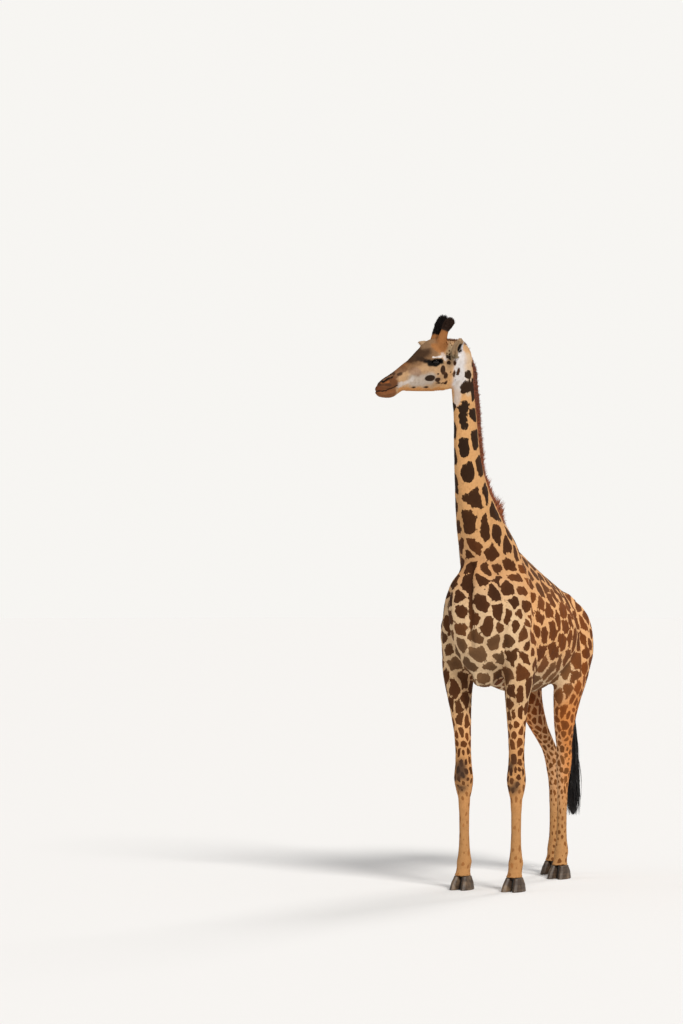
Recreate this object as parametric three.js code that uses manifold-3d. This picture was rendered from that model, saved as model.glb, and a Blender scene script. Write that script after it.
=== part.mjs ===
// A life-size giraffe, standing with its head turned to its right.
// Millimetres, +Z up. The animal faces -Y and its left side is at +X. It is modelled with the floor at
// z = 0 and the forefeet near y = 0, and the whole group is then moved so that the origin is the middle
// of its footprint.
import * as THREE from 'three';
import { mergeVertices } from 'three/addons/utils/BufferGeometryUtils.js';
import Module from 'manifold-3d';

const wasm = await Module();
wasm.setup();

// ---------------------------------------------------------------- driving dimensions

const GAP = 0.3; // clearance between neighbouring pieces
const FAR = 3000; // reach of a cutting block past the flesh it cuts

const HEAD_YAW = -44; // degrees, head turned to the animal's right
const POLL = [-4, -496]; // the poll in plan, where the head's own frame has its origin
const HEAD_SCALE = 0.97; // of the sizes in the head's own tables
const CROWN_HEIGHT = 4000; // the level that stays put when the head is scaled
const HEAD_DROP = 12; // how far the finished head is lowered on the neck

// A row of a table is one station of a loft, named after the place on the body:
// [x, y, z, half width, reach forward or up, reach back or down,
//  narrowing of the forward or upper half, narrowing of the other half, turn about z in degrees]

const TRUNK = {
  breastTip: [0, -392, 2050, 50, 190, 130, 0, 0],
  breast: [0, -350, 2040, 168, 350, 300, 0.15, 0.25],
  shoulderFront: [0, -225, 1990, 254, 460, 425, 0.2, 0.3],
  shoulder: [0, -20, 1950, 284, 560, 445, 0.4, 0.3],
  withers: [0, 210, 1930, 296, 650, 478, 0.55, 0.25],
  girth: [0, 450, 1905, 318, 590, 492, 0.5, 0.2],
  barrel: [0, 690, 1870, 336, 512, 468, 0.38, 0.15],
  loin: [0, 930, 1850, 326, 435, 418, 0.28, 0.15],
  flank: [0, 1130, 1850, 284, 365, 325, 0.2, 0.15],
  croup: [0, 1310, 1850, 222, 305, 235, 0.15, 0.1],
  rump: [0, 1440, 1845, 148, 225, 165, 0.1, 0.1],
  tailHead: [0, 1505, 1845, 80, 130, 100, 0, 0],
  seat: [0, 1530, 1845, 25, 40, 30, 0, 0],
};

const NECK = {
  root: [0, 170, 2190, 200, 300, 330, 0, 0.2, 0],
  base: [0, 10, 2400, 212, 330, 335, 0.1, 0.4, 0],
  lower: [0, -190, 2630, 166, 248, 252, 0.1, 0.45, 0],
  third: [0, -340, 2880, 124, 186, 184, 0.15, 0.45, 0],
  middle: [0, -430, 3139, 91, 141, 144, 0.1, 0.4, -6],
  upper: [-2, -474, 3420, 73, 100, 110, 0.1, 0.3, -22],
  throat: [-6, -500, 3630, 74, 90, 90, 0.1, 0.25, -38],
  nape: [-8, -506, 3790, 82, 96, 82, 0.1, 0.2, -44],
  atlas: [-8, -500, 3895, 66, 78, 58, 0, 0, -44],
};

// The head is modelled facing -Y with the poll at the origin of x and y.
const HEAD = {
  nape: [0, 52, 3862, 52, 70, 70, 0, 0],
  occiput: [0, 8, 3858, 80, 136, 120, 0.05, 0.2],
  ears: [0, -62, 3850, 93, 163, 178, 0.05, 0.35],
  jawAngle: [0, -135, 3845, 101, 174, 203, 0.06, 0.4],
  ossicones: [0, -200, 3845, 108, 182, 210, 0.08, 0.42],
  eyes: [0, -268, 3845, 110, 176, 215, 0.1, 0.45],
  brow: [0, -330, 3828, 96, 150, 200, 0.16, 0.45],
  face: [0, -388, 3798, 76, 132, 170, 0.25, 0.4],
  bridge: [0, -445, 3770, 62, 100, 140, 0.3, 0.35],
  snout: [0, -503, 3735, 54, 94, 104, 0.3, 0.3],
  muzzleRoot: [0, -553, 3705, 54, 84, 112, 0.25, 0.2],
  nostrils: [0, -603, 3680, 59, 75, 102, 0.2, 0.15],
  lips: [0, -645, 3660, 58, 68, 79, 0.2, 0.15],
  lipFront: [0, -683, 3643, 48, 48, 55, 0.1, 0.1],
  lipTip: [0, -705, 3632, 28, 26, 24, 0, 0],
  end: [0, -711, 3630, 8, 8, 8, 0, 0],
};

const EYE = { side: 90, forward: 268, height: 3851, radius: 30 };
const ORBIT = [46, 64, 48]; // half sizes of the swelling round each eye
const EYE_OPENING = [20, 36, 22]; // half sizes of the hollow that bares the eyeball
const EYE_OPENING_REACH = 26; // from the eyeball's middle out to the middle of that hollow
const EAR = {
  side: 74,
  forward: 96,
  height: 3896,
  length: 268,
  width: 58, // half width at the widest
  cup: 42, // half depth at the widest
  wall: 8, // thickness of the ear's edge
  edge: 3, // least half size, at the tip
  rootShare: 0.13, // how far along its swelling the ear starts at the root
  hollowStart: 34, // height of the hollow's floor over the root
  hollowShift: 18, // how far the hollow is moved towards the opening
};
const EAR_LEFT_AIM = [0.81, -0.22, 0.38];
const EAR_LEFT_OPENING = [0.6, 0.6, -0.25];
const EAR_RIGHT_AIM = [-0.72, -0.62, 0.42];
const EAR_RIGHT_OPENING = [-0.7, 0.2, -0.6];

const OSSICONE = {
  root: [54, -205, 3935, 36, 54, 50],
  base: [57, -202, 4020, 38, 50, 46],
  shaft: [60, -182, 4078, 27, 37, 30],
  knobBase: [63, -162, 4118, 32, 46, 38],
  knob: [65, -148, 4146, 35, 42, 42],
  crown: [66, -143, 4171, 26, 30, 30],
  tip: [66, -143, 4184, 8, 9, 9],
};
const OSSICONE_LEFT_DROP = 12; // the left one stands this much lower

// A leg is given for the animal's left side. Its sections lie level.
const FORELEG = {
  withers: [112, 170, 2440, 46, 60, 60, 0, 0],
  blade: [178, 30, 2300, 80, 185, 200, 0, 0],
  lowBlade: [216, -45, 2110, 96, 212, 238, 0, 0],
  shoulderPoint: [220, -60, 1930, 104, 222, 240, 0.15, 0.1],
  upperArm: [234, -38, 1760, 116, 190, 225, 0.1, 0.1],
  elbow: [240, -25, 1590, 114, 145, 185, 0, 0.1],
  forearm: [226, -32, 1400, 90, 104, 108, 0, 0.1],
  lowerForearm: [214, -10, 1190, 68, 78, 76, 0, 0],
  aboveKnee: [209, 0, 980, 59, 64, 62, 0, 0],
  kneeTop: [208, 0, 870, 68, 74, 68, 0, 0],
  knee: [207, 2, 800, 73, 80, 74, 0, 0],
  kneeBottom: [206, 4, 725, 61, 60, 68, 0, 0],
  cannonTop: [205, 4, 640, 43, 44, 52, 0, 0],
  cannon: [204, 2, 430, 38, 39, 47, 0, 0],
  cannonEnd: [203, 0, 275, 44, 44, 54, 0, 0],
  fetlock: [203, 0, 205, 57, 54, 68, 0, 0],
  pastern: [203, -18, 140, 53, 50, 58, 0, 0],
  coronet: [203, -32, 100, 64, 64, 66, 0, 0],
};

const HIND_LEFT = {
  hipTop: [112, 1200, 2104, 44, 80, 80, 0, 0],
  hip: [160, 1222, 2015, 96, 165, 175, 0, 0],
  thigh: [186, 1215, 1840, 116, 245, 250, 0, 0],
  midThigh: [196, 1180, 1660, 120, 262, 275, 0, 0],
  stifle: [196, 1105, 1470, 108, 200, 245, 0, 0.1],
  gaskinTop: [182, 1078, 1320, 92, 150, 170, 0, 0.1],
  gaskin: [158, 1090, 1130, 72, 98, 112, 0, 0.1],
  aboveHock: [136, 1150, 975, 57, 74, 90, 0, 0.2],
  hock: [126, 1172, 880, 60, 76, 92, 0, 0.2],
  belowHock: [121, 1166, 780, 54, 60, 72, 0, 0.1],
  cannonTop: [118, 1160, 680, 42, 46, 54, 0, 0],
  cannon: [115, 1155, 450, 38, 41, 48, 0, 0],
  cannonEnd: [113, 1152, 280, 43, 45, 54, 0, 0],
  fetlock: [112, 1150, 205, 56, 54, 68, 0, 0],
  pastern: [112, 1132, 140, 52, 50, 58, 0, 0],
  coronet: [112, 1118, 100, 63, 64, 66, 0, 0],
};

const HIND_RIGHT = {
  hipTop: [112, 1200, 2104, 44, 80, 80, 0, 0],
  hip: [160, 1222, 2015, 96, 165, 175, 0, 0],
  thigh: [186, 1230, 1840, 116, 250, 250, 0, 0],
  midThigh: [196, 1215, 1660, 120, 265, 265, 0, 0],
  stifle: [190, 1195, 1470, 106, 215, 225, 0, 0.1],
  gaskinTop: [172, 1225, 1320, 90, 160, 160, 0, 0.1],
  gaskin: [142, 1320, 1130, 72, 104, 110, 0, 0.1],
  aboveHock: [112, 1450, 975, 58, 78, 92, 0, 0.2],
  hock: [99, 1510, 880, 60, 78, 90, 0, 0.2],
  belowHock: [92, 1518, 780, 54, 60, 70, 0, 0.1],
  cannonTop: [88, 1516, 680, 42, 46, 54, 0, 0],
  cannon: [82, 1508, 450, 38, 41, 48, 0, 0],
  cannonEnd: [79, 1502, 280, 43, 45, 54, 0, 0],
  fetlock: [78, 1498, 205, 56, 54, 68, 0, 0],
  pastern: [78, 1480, 140, 52, 50, 58, 0, 0],
  coronet: [78, 1466, 100, 63, 64, 66, 0, 0],
};

const HOOF = {
  length: 214,
  width: 78, // of one claw
  cleft: 8, // between the two claws
  height: 99,
  toeSlope: 56, // how far the toe leans back from the sole to the coronet
  sideSlope: 12, // how much narrower the claw is at the coronet
  heelSlope: 16,
  toeShare: 0.56, // share of the length ahead of the coronet's middle
};

const TAIL = {
  root: [0, 1420, 1990, 52, 50, 50],
  dock: [0, 1522, 1962, 46, 42, 42],
  bend: [8, 1578, 1860, 35, 33, 33],
  upper: [16, 1592, 1700, 25, 25, 25],
  middle: [20, 1594, 1450, 20, 20, 20],
  lower: [24, 1592, 1180, 18, 18, 18],
};

const TUFT = {
  top: [24, 1592, 1184, 22, 22, 22],
  swell: [26, 1598, 1110, 40, 40, 40],
  full: [28, 1602, 920, 53, 53, 53],
  low: [30, 1606, 640, 56, 56, 56],
  taper: [32, 1606, 490, 44, 46, 46],
  tip: [33, 1606, 432, 14, 14, 14],
};

const MANE = {
  height: 92, // over the neck, near the withers
  pollHeight: 30, // over the neck, at the poll
  halfWidth: 15,
  sink: 24, // how far the wall starts below the skin
  firstStation: 0.12, // share of the neck's length, from its root
  lastStation: 0.98,
  lean: -32, // degrees, turned aside with the head
  rows: 13,
  ripple: 0.07, // unevenness of the upper edge
  endRise: 6, // how fast the wall gains its height from each end
};

// ---------------------------------------------------------------- geometry helpers

const WIDTH_AXIS = new THREE.Vector3(1, 0, 0);
const VERTICAL = new THREE.Vector3(0, 0, 1);
const FORWARD_AND_UP = new THREE.Vector3(0, -1, 0.2);

/** The solid of a geometry whose shared vertices are merged. */
function solid(geometry) {
  geometry.deleteAttribute('normal');
  geometry.deleteAttribute('uv');
  const merged = mergeVertices(geometry, 1e-4);
  const triVerts = Uint32Array.from(merged.index.array);
  const vertProperties = Float32Array.from(merged.attributes.position.array);
  if (signedVolume(vertProperties, triVerts) < 0) {
    for (let i = 0; i < triVerts.length; i += 3) {
      [triVerts[i + 1], triVerts[i + 2]] = [triVerts[i + 2], triVerts[i + 1]];
    }
  }
  return new wasm.Manifold(new wasm.Mesh({ numProp: 3, vertProperties, triVerts }));
}

function signedVolume(points, triangles) {
  const corner = (i) => new THREE.Vector3().fromArray(points, 3 * triangles[i]);
  let sum = 0;
  for (let i = 0; i < triangles.length; i += 3) {
    sum += corner(i).dot(corner(i + 1).cross(corner(i + 2)));
  }
  return sum / 6;
}

/** A smooth curve through one group of three columns of a station table. */
function curveOf(rows, first) {
  const value = (row, column) => row[column] ?? 0;
  const points = rows.map((row) => (
    new THREE.Vector3(value(row, first), value(row, first + 1), value(row, first + 2))
  ));
  return new THREE.CatmullRomCurve3(points, false, 'catmullrom', 0.5);
}

/** Centre, sizes and axes of a loft's section at t from 0 to 1. */
function sectionAt(table, t, plane) {
  const rows = Object.values(table);
  const centre = curveOf(rows, 0).getPoint(t);
  const size = curveOf(rows, 3).getPoint(t);
  const trim = curveOf(rows, 6).getPoint(t);
  const normal = plane ? plane.clone() : curveOf(rows, 0).getTangent(t);
  const across = WIDTH_AXIS.clone().applyAxisAngle(VERTICAL, THREE.MathUtils.degToRad(trim.z));
  const fore = normal.clone().cross(across).normalize();
  if (fore.dot(FORWARD_AND_UP) < 0) fore.negate();
  return { centre, size, trim, across, fore };
}

/** A closed tube through the stations of a table, one oval section at each ring. */
function loft(table, sides, rings, plane) {
  const geometry = new THREE.CylinderGeometry(1, 1, 1, sides, rings);
  geometry.deleteAttribute('normal');
  geometry.deleteAttribute('uv');
  const merged = mergeVertices(geometry, 1e-4);
  const position = merged.attributes.position;
  const sections = [];
  for (let ring = 0; ring <= rings; ring += 1) {
    sections.push(sectionAt(table, ring / rings, plane));
  }
  for (let i = 0; i < position.count; i += 1) {
    const { centre, size, trim, across, fore } = sections[Math.round((0.5 - position.getY(i)) * rings)];
    const sideways = position.getX(i);
    const upright = position.getZ(i);
    const reach = upright > 0 ? size.y : size.z;
    const narrowing = 1 - (upright > 0 ? trim.x : trim.y) * upright * upright;
    const point = centre.clone();
    point.addScaledVector(across, sideways * size.x * narrowing);
    point.addScaledVector(fore, upright * reach);
    position.setXYZ(i, point.x, point.y, point.z);
  }
  return solid(merged);
}

/** An ellipsoid of given half sizes, turned about x, y and z in degrees. */
function ellipsoid(centre, halves, turns = [0, 0, 0], segments = 10) {
  const geometry = new THREE.SphereGeometry(1, segments, Math.round(segments * 0.7));
  geometry.scale(...halves);
  turns.forEach((turn, axis) => {
    const direction = new THREE.Vector3().setComponent(axis, 1);
    geometry.applyMatrix4(new THREE.Matrix4().makeRotationAxis(direction, THREE.MathUtils.degToRad(turn)));
  });
  geometry.translate(...centre);
  return solid(geometry);
}

/** A block from its lowest to its highest corner, with an optional turn about a point. */
function block(low, high, turns = [0, 0, 0], about = [0, 0, 0]) {
  const size = high.map((value, axis) => value - low[axis]);
  const geometry = new THREE.BoxGeometry(...size);
  geometry.translate(...high.map((value, axis) => (value + low[axis]) / 2));
  geometry.translate(...about.map((value) => -value));
  turns.forEach((turn, axis) => {
    const direction = new THREE.Vector3().setComponent(axis, 1);
    geometry.applyMatrix4(new THREE.Matrix4().makeRotationAxis(direction, THREE.MathUtils.degToRad(turn)));
  });
  geometry.translate(...about);
  return solid(geometry);
}

/** All of space on the side of a plane that its normal points to. */
function halfSpace(point, normal, shift = 0) {
  const direction = new THREE.Vector3(...normal).normalize();
  const geometry = new THREE.BoxGeometry(2 * FAR, 2 * FAR, FAR);
  geometry.translate(0, 0, FAR / 2 + shift);
  const spin = new THREE.Quaternion().setFromUnitVectors(new THREE.Vector3(0, 0, 1), direction);
  geometry.applyQuaternion(spin);
  geometry.translate(...point);
  return solid(geometry);
}

/** Parts a body at a plane into the side ahead of it and the side behind it. */
function partAt(body, point, normal) {
  const ahead = body.intersect(halfSpace(point, normal, GAP / 2));
  const behind = body.subtract(halfSpace(point, normal, -GAP / 2));
  return [ahead, behind];
}

/** A piece cut back from its neighbour with a small gap between them, and without loose slivers. */
function clearOf(piece, neighbour) {
  const shifts = [[GAP, 0, 0], [-GAP, 0, 0], [0, GAP, 0], [0, -GAP, 0], [0, 0, GAP], [0, 0, -GAP]];
  const copies = shifts.map((shift) => neighbour.translate(shift));
  const pieces = piece.subtract(union(neighbour, ...copies)).decompose();
  pieces.sort((a, b) => b.volume() - a.volume());
  return pieces[0];
}

function mirrored(table) {
  return Object.fromEntries(
    Object.entries(table).map(([name, row]) => [name, [-row[0], ...row.slice(1)]]),
  );
}

function union(...pieces) {
  return pieces.reduce((whole, piece) => whole.add(piece));
}

/** Moves a solid from the head's own frame to its place on the neck. */
function seated(piece) {
  const level = piece.translate([0, 0, -CROWN_HEIGHT]).scale(HEAD_SCALE);
  return level.rotate([0, 0, HEAD_YAW]).translate([POLL[0], POLL[1], CROWN_HEIGHT - HEAD_DROP]);
}

// ---------------------------------------------------------------- the flesh, made whole

const LEVEL = new THREE.Vector3(0, 0, -1);
const UPRIGHT = new THREE.Vector3(0, -1, 0);

function makeHead() {
  const skull = loft(HEAD, 16, 22, UPRIGHT);
  const orbits = [];
  const openings = [];
  for (const side of [1, -1]) {
    const outside = side * (EYE.side + EYE_OPENING_REACH);
    orbits.push(ellipsoid([side * 76, -EYE.forward + 6, EYE.height + 13], ORBIT, [0, 0, side * 10]));
    openings.push(ellipsoid([outside, -EYE.forward, EYE.height], EYE_OPENING, [8, 0, side * 10]));
  }
  return union(skull, ...orbits).subtract(union(...openings));
}

function makeTrunk() {
  const sternum = ellipsoid([0, -60, 1560], [85, 210, 80], [4, 0, 0]);
  return union(loft(TRUNK, 20, 19, UPRIGHT), sternum);
}

function makeForeleg(side) {
  const turn = side > 0 ? (table) => table : mirrored;
  return loft(turn(FORELEG), 12, 26, LEVEL);
}

function makeHindLeg(side) {
  const table = side > 0 ? HIND_LEFT : mirrored(HIND_RIGHT);
  return loft(table, 12, 25, LEVEL);
}

// ---------------------------------------------------------------- thin cuts that part the flesh

const NECK_CUT = { point: [0, -90, 2410], normal: [0, -0.6, 0.8] };
const MID_NECK_CUT = { point: [0, -425, 3120], normal: [0, -0.28, 0.96] };
const HEAD_CUT = { point: [0, -28, 3790], normal: [0, -0.94, 0.34] };
const KNEE_CUT_HEIGHT = 690;
const HOCK_CUT_HEIGHT = 740;
const MIDLINE_CLEARANCE = 2; // from the midline to the inner side of a leg's lower region
const BELLY_LEVEL = 1250; // below this all flesh of one side belongs to its legs
const FORELEG_BLOCK = { low: [62, -420], high: [620, 300], tilt: 36, hinge: [62, 0, 1440] };
const HIND_BLOCK = { low: [44, 890], high: [620, 1800], tilt: 24, hinge: [44, 0, 1530] };

/** The region of one leg: below a sloping plane outboard of the belly, and all of its side lower down. */
function legRegion({ low, high, tilt, hinge }, side, grow) {
  const slope = THREE.MathUtils.degToRad(tilt);
  const above = halfSpace(hinge, [-Math.sin(slope), 0, Math.cos(slope)], grow);
  const front = low[1] - grow;
  const back = high[1] + grow;
  const outboard = block([low[0] - grow, front, -FAR], [high[0], back, FAR]).subtract(above);
  const shank = block([MIDLINE_CLEARANCE, front, -FAR], [high[0], back, BELLY_LEVEL + grow]);
  const region = outboard.add(shank);
  return side > 0 ? region : region.mirror([1, 0, 0]);
}

const legs = [makeForeleg(1), makeForeleg(-1), makeHindLeg(1), makeHindLeg(-1)];
const whole = union(makeTrunk(), loft(NECK, 16, 17), ...legs);
const headSolid = seated(makeHead());
const parts = new Map();

function cutFlesh() {
  const headPoint = new THREE.Vector3(...HEAD_CUT.point);
  const headNormal = new THREE.Vector3(...HEAD_CUT.normal);
  const yaw = new THREE.Matrix4().makeRotationZ(THREE.MathUtils.degToRad(HEAD_YAW));
  const point = headPoint.applyMatrix4(yaw).add(new THREE.Vector3(...POLL, 0)).toArray();
  const normal = headNormal.applyMatrix4(yaw).toArray();
  const [head, belowHead] = partAt(union(whole, headSolid), point, normal);
  parts.set('head', head);
  const [neck, belowNeck] = partAt(belowHead, NECK_CUT.point, NECK_CUT.normal);
  const [upper, lower] = partAt(neck, MID_NECK_CUT.point, MID_NECK_CUT.normal);
  parts.set('neck_upper', upper);
  parts.set('neck_lower', lower);

  let trunk = belowNeck;
  for (const [side, suffix] of [[1, 'left'], [-1, 'right']]) {
    for (const [name, region, cut] of [
      ['foreleg', FORELEG_BLOCK, KNEE_CUT_HEIGHT],
      ['hindleg', HIND_BLOCK, HOCK_CUT_HEIGHT],
    ]) {
      const leg = belowNeck.intersect(legRegion(region, side, 0));
      trunk = trunk.subtract(legRegion(region, side, GAP));
      const [above, below] = partAt(leg, [0, 0, cut], [0, 0, 1]);
      const raised = below.intersect(halfSpace([0, 0, HOOF.height + GAP], [0, 0, 1]));
      parts.set(`${name}_upper_${suffix}`, above);
      parts.set(`${name}_lower_${suffix}`, raised);
    }
  }
  parts.set('trunk', trunk);
}

cutFlesh();

// ---------------------------------------------------------------- eyes, ears and ossicones

function addEyes() {
  for (const [side, suffix] of [[1, 'left'], [-1, 'right']]) {
    const centre = [side * EYE.side, -EYE.forward, EYE.height];
    const ball = seated(ellipsoid(centre, Array(3).fill(EYE.radius), [0, 0, 0], 10));
    const socket = seated(ellipsoid(centre, Array(3).fill(EYE.radius + GAP), [0, 0, 0], 10));
    parts.set(`eye_${suffix}`, ball);
    parts.set('head', parts.get('head').subtract(socket));
  }
}

/** A leaf-shaped, cupped ear along +Z from its root, opening towards +Y. */
function makeEar() {
  const steps = 7;
  const sides = 10;
  const shell = {};
  const hollow = {};
  for (let step = 0; step <= steps; step += 1) {
    const t = step / steps;
    const swell = Math.sin(Math.PI * (EAR.rootShare + (1 - EAR.rootShare) * t)) ** 0.8;
    const wide = Math.max(EAR.edge, EAR.width * swell);
    const deep = Math.max(EAR.edge, EAR.cup * swell);
    shell[`ring${step}`] = [0, 0, t * EAR.length, wide, deep, deep];
    hollow[`ring${step}`] = [
      0,
      EAR.hollowShift,
      t * EAR.length + EAR.hollowStart,
      Math.max(EAR.edge, wide - EAR.wall),
      deep,
      Math.max(EAR.edge, deep - EAR.wall / 2),
    ];
  }
  return loft(shell, sides, steps, VERTICAL).subtract(loft(hollow, sides, steps, VERTICAL));
}

/** Turns a piece whose long axis is +Z and whose opening is +Y to the given directions. */
function aimed(piece, aim, opening) {
  const long = new THREE.Vector3(...aim).normalize();
  const open = new THREE.Vector3(...opening);
  open.addScaledVector(long, -open.dot(long)).normalize();
  const across = open.clone().cross(long);
  const matrix = new THREE.Matrix4().makeBasis(across, open, long);
  return piece.transform(matrix.elements);
}

function addEars() {
  for (const [side, suffix, aim, opening] of [
    [1, 'left', EAR_LEFT_AIM, EAR_LEFT_OPENING],
    [-1, 'right', EAR_RIGHT_AIM, EAR_RIGHT_OPENING],
  ]) {
    const root = [side * EAR.side, -EAR.forward, EAR.height];
    const ear = seated(aimed(makeEar(), aim, opening).translate(root));
    parts.set(`ear_${suffix}`, clearOf(ear, parts.get('head')));
  }
}

function addOssicones() {
  const left = loft(OSSICONE, 8, 8, VERTICAL).translate([0, 0, -OSSICONE_LEFT_DROP]);
  const right = loft(mirrored(OSSICONE), 8, 8, VERTICAL);
  for (const [horn, suffix] of [[left, 'left'], [right, 'right']]) {
    parts.set(`ossicone_${suffix}`, clearOf(seated(horn), parts.get('head')));
  }
}

// ---------------------------------------------------------------- mane, tail and hooves

/** The standing mane: a low wall along the back of the neck, from the withers to the poll. */
function addMane() {
  const table = {};
  for (let row = 0; row <= MANE.rows; row += 1) {
    const share = row / MANE.rows;
    const t = MANE.firstStation + (MANE.lastStation - MANE.firstStation) * share;
    const { centre, size, fore } = sectionAt(NECK, t);
    const edge = centre.clone().addScaledVector(fore, -size.z);
    fore.applyAxisAngle(VERTICAL, THREE.MathUtils.degToRad(MANE.lean) * (1 - share));
    const ends = Math.min(1, MANE.endRise * share + 0.25, MANE.endRise * (1 - share) + 0.35);
    const ripple = 1 + MANE.ripple * Math.sin(2.4 * row);
    const height = (MANE.height + (MANE.pollHeight - MANE.height) * share) * ends * ripple;
    const middle = edge.addScaledVector(fore, -(height - MANE.sink) / 2);
    const half = (height + MANE.sink) / 2;
    table[`row${row}`] = [...middle.toArray(), MANE.halfWidth, half, half, 0.2, 0.5, MANE.lean];
  }
  const wall = loft(table, 6, MANE.rows);
  const flesh = union(...['neck_upper', 'neck_lower', 'trunk', 'head'].map((name) => parts.get(name)));
  parts.set('mane', clearOf(wall, flesh));
}

function addTail() {
  const dock = loft(TAIL, 8, 11);
  const freeDock = clearOf(dock, parts.get('trunk'));
  const lowest = TAIL.lower[2];
  parts.set('tail', freeDock.intersect(halfSpace([0, 0, lowest + GAP], [0, 0, 1])));
  parts.set('tail_tuft', loft(TUFT, 8, 10).subtract(halfSpace([0, 0, lowest], [0, 0, 1])));
}

/** One claw of a cloven hoof, its flat sole on the floor and its toe towards -Y. */
function makeClaw(side) {
  const rings = 3;
  const table = {};
  for (let ring = 0; ring <= rings; ring += 1) {
    const t = ring / rings;
    const toe = -HOOF.length * HOOF.toeShare + HOOF.toeSlope * t;
    const heel = HOOF.length * (1 - HOOF.toeShare) - HOOF.heelSlope * t;
    const wide = (HOOF.width - HOOF.sideSlope * t) / 2;
    const deep = (heel - toe) / 2;
    const middle = side * (HOOF.cleft / 2 + wide);
    table[`ring${ring}`] = [middle, (toe + heel) / 2, HOOF.height * t, wide, deep, deep, 0.1, 0.1];
  }
  return loft(table, 10, rings, VERTICAL);
}

function addHooves() {
  const feet = {
    hoof_front_left: [FORELEG.coronet, 1],
    hoof_front_right: [FORELEG.coronet, -1],
    hoof_hind_left: [HIND_LEFT.coronet, 1],
    hoof_hind_right: [HIND_RIGHT.coronet, -1],
  };
  for (const [name, [coronet, side]] of Object.entries(feet)) {
    for (const [claw, label] of [[side, 'outer'], [-side, 'inner']]) {
      const piece = makeClaw(claw).translate([side * coronet[0], coronet[1], 0]);
      parts.set(`${name}_${label}`, piece);
    }
  }
}

addEyes();
addEars();
addOssicones();
addMane();
addTail();
addHooves();

// ---------------------------------------------------------------- materials and the group

const COAT = { color: 0xb98a5a, roughness: 0.85, metalness: 0 };
const HAIR_BROWN = { color: 0x5d3420, roughness: 0.8, metalness: 0 };
const HAIR_BLACK = { color: 0x141110, roughness: 0.55, metalness: 0 };
const HORN = { color: 0x3c3128, roughness: 0.6, metalness: 0 };
const EYE_DARK = { color: 0x140d0a, roughness: 0.1, metalness: 0 };

function finishOf(name) {
  if (name.startsWith('hoof')) return HORN;
  if (name.startsWith('eye')) return EYE_DARK;
  if (name === 'mane') return HAIR_BROWN;
  if (name === 'tail_tuft') return HAIR_BLACK;
  return COAT;
}

function meshOf(name, piece) {
  const { vertProperties, triVerts } = piece.getMesh();
  const geometry = new THREE.BufferGeometry();
  geometry.setAttribute('position', new THREE.BufferAttribute(vertProperties, 3));
  geometry.setIndex(new THREE.BufferAttribute(triVerts, 1));
  geometry.computeVertexNormals();
  const mesh = new THREE.Mesh(geometry, new THREE.MeshStandardMaterial(finishOf(name)));
  mesh.name = name;
  return mesh;
}

const giraffe = new THREE.Group();
for (const [name, piece] of parts) {
  giraffe.add(meshOf(name, piece));
}
const footprint = new THREE.Box3().setFromObject(giraffe);
giraffe.position.set(-(footprint.min.x + footprint.max.x) / 2, -(footprint.min.y + footprint.max.y) / 2, 0);
giraffe.updateMatrixWorld(true);

export default giraffe;
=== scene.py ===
"""Looks of a life-size giraffe that stands with its head turned to its right."""

import math

import bpy
import numpy as np
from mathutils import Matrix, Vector, bvhtree, kdtree


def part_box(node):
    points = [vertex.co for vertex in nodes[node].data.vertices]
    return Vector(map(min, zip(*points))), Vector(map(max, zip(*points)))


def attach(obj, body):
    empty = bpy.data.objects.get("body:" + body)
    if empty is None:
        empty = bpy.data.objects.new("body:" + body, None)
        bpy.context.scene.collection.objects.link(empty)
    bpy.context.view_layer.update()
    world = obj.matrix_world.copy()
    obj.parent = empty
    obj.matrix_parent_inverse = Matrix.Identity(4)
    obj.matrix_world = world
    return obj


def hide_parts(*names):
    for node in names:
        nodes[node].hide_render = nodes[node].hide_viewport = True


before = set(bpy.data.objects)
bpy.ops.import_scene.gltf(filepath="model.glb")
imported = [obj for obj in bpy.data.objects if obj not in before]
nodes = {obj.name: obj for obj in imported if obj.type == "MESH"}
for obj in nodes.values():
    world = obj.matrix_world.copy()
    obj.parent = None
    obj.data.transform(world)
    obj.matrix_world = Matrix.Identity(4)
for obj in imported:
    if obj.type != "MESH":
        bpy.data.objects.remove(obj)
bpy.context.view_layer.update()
rng = np.random.default_rng(11)

FORELEGS = np.array([0.0717, -0.3272, 0.0])  # the point on the floor between the forefeet
POLL = np.array([-0.004, -0.496, 3.988])  # from that point to the top of the nape
HEAD_TURN = math.radians(-44)
HEAD_SCALE = 0.97
POLL_HEIGHT = np.array([0, 0, 4000])  # the poll in the head's own millimetres
COAT_DEPTH = 0.0025  # how far the skin lies inside the outline of the hair
CUT_CLOSER = 0.0004  # closes the thin cuts between the solids
SKIN_VOXEL = 0.0068
SKIN_TRIANGLES = 194000

# Measures of the eye, in the head's own millimetres
EYE = (90, -268, 3851)  # middle of the left eyeball
EYE_SLANT = 0.12  # how much the lids rise towards the back
LID_RADIUS = 34.0
LID_RUN, UPPER_LID, LOWER_LID = 33, 18, 14  # half the length of the opening, and its height above and below
SOCKET_RADIUS, SOCKET_DEPTH = 62, 30  # how far about the eye and how deep the skin is shaped by the lids
EYEBALL = 0.0291  # radius of the eyeball in metres

FLESH = ["head", "neck_upper", "neck_lower", "trunk", "tail",
         "ear_left", "ear_right", "ossicone_left", "ossicone_right"]
FLESH += [f"{leg}_{part}_{side}" for leg in ("foreleg", "hindleg")
          for part in ("upper", "lower") for side in ("left", "right")]


# ---------------------------------------------------------------- places on the body

def body_place(points):
    """Points of the frame, seen from the floor between the forefeet."""
    return points - FORELEGS


def turned(points, angle):
    """Points turned about the vertical."""
    x, y, z = points.T
    c, s = math.cos(angle), math.sin(angle)
    return np.stack([x * c - y * s, x * s + y * c, z], 1)


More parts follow.
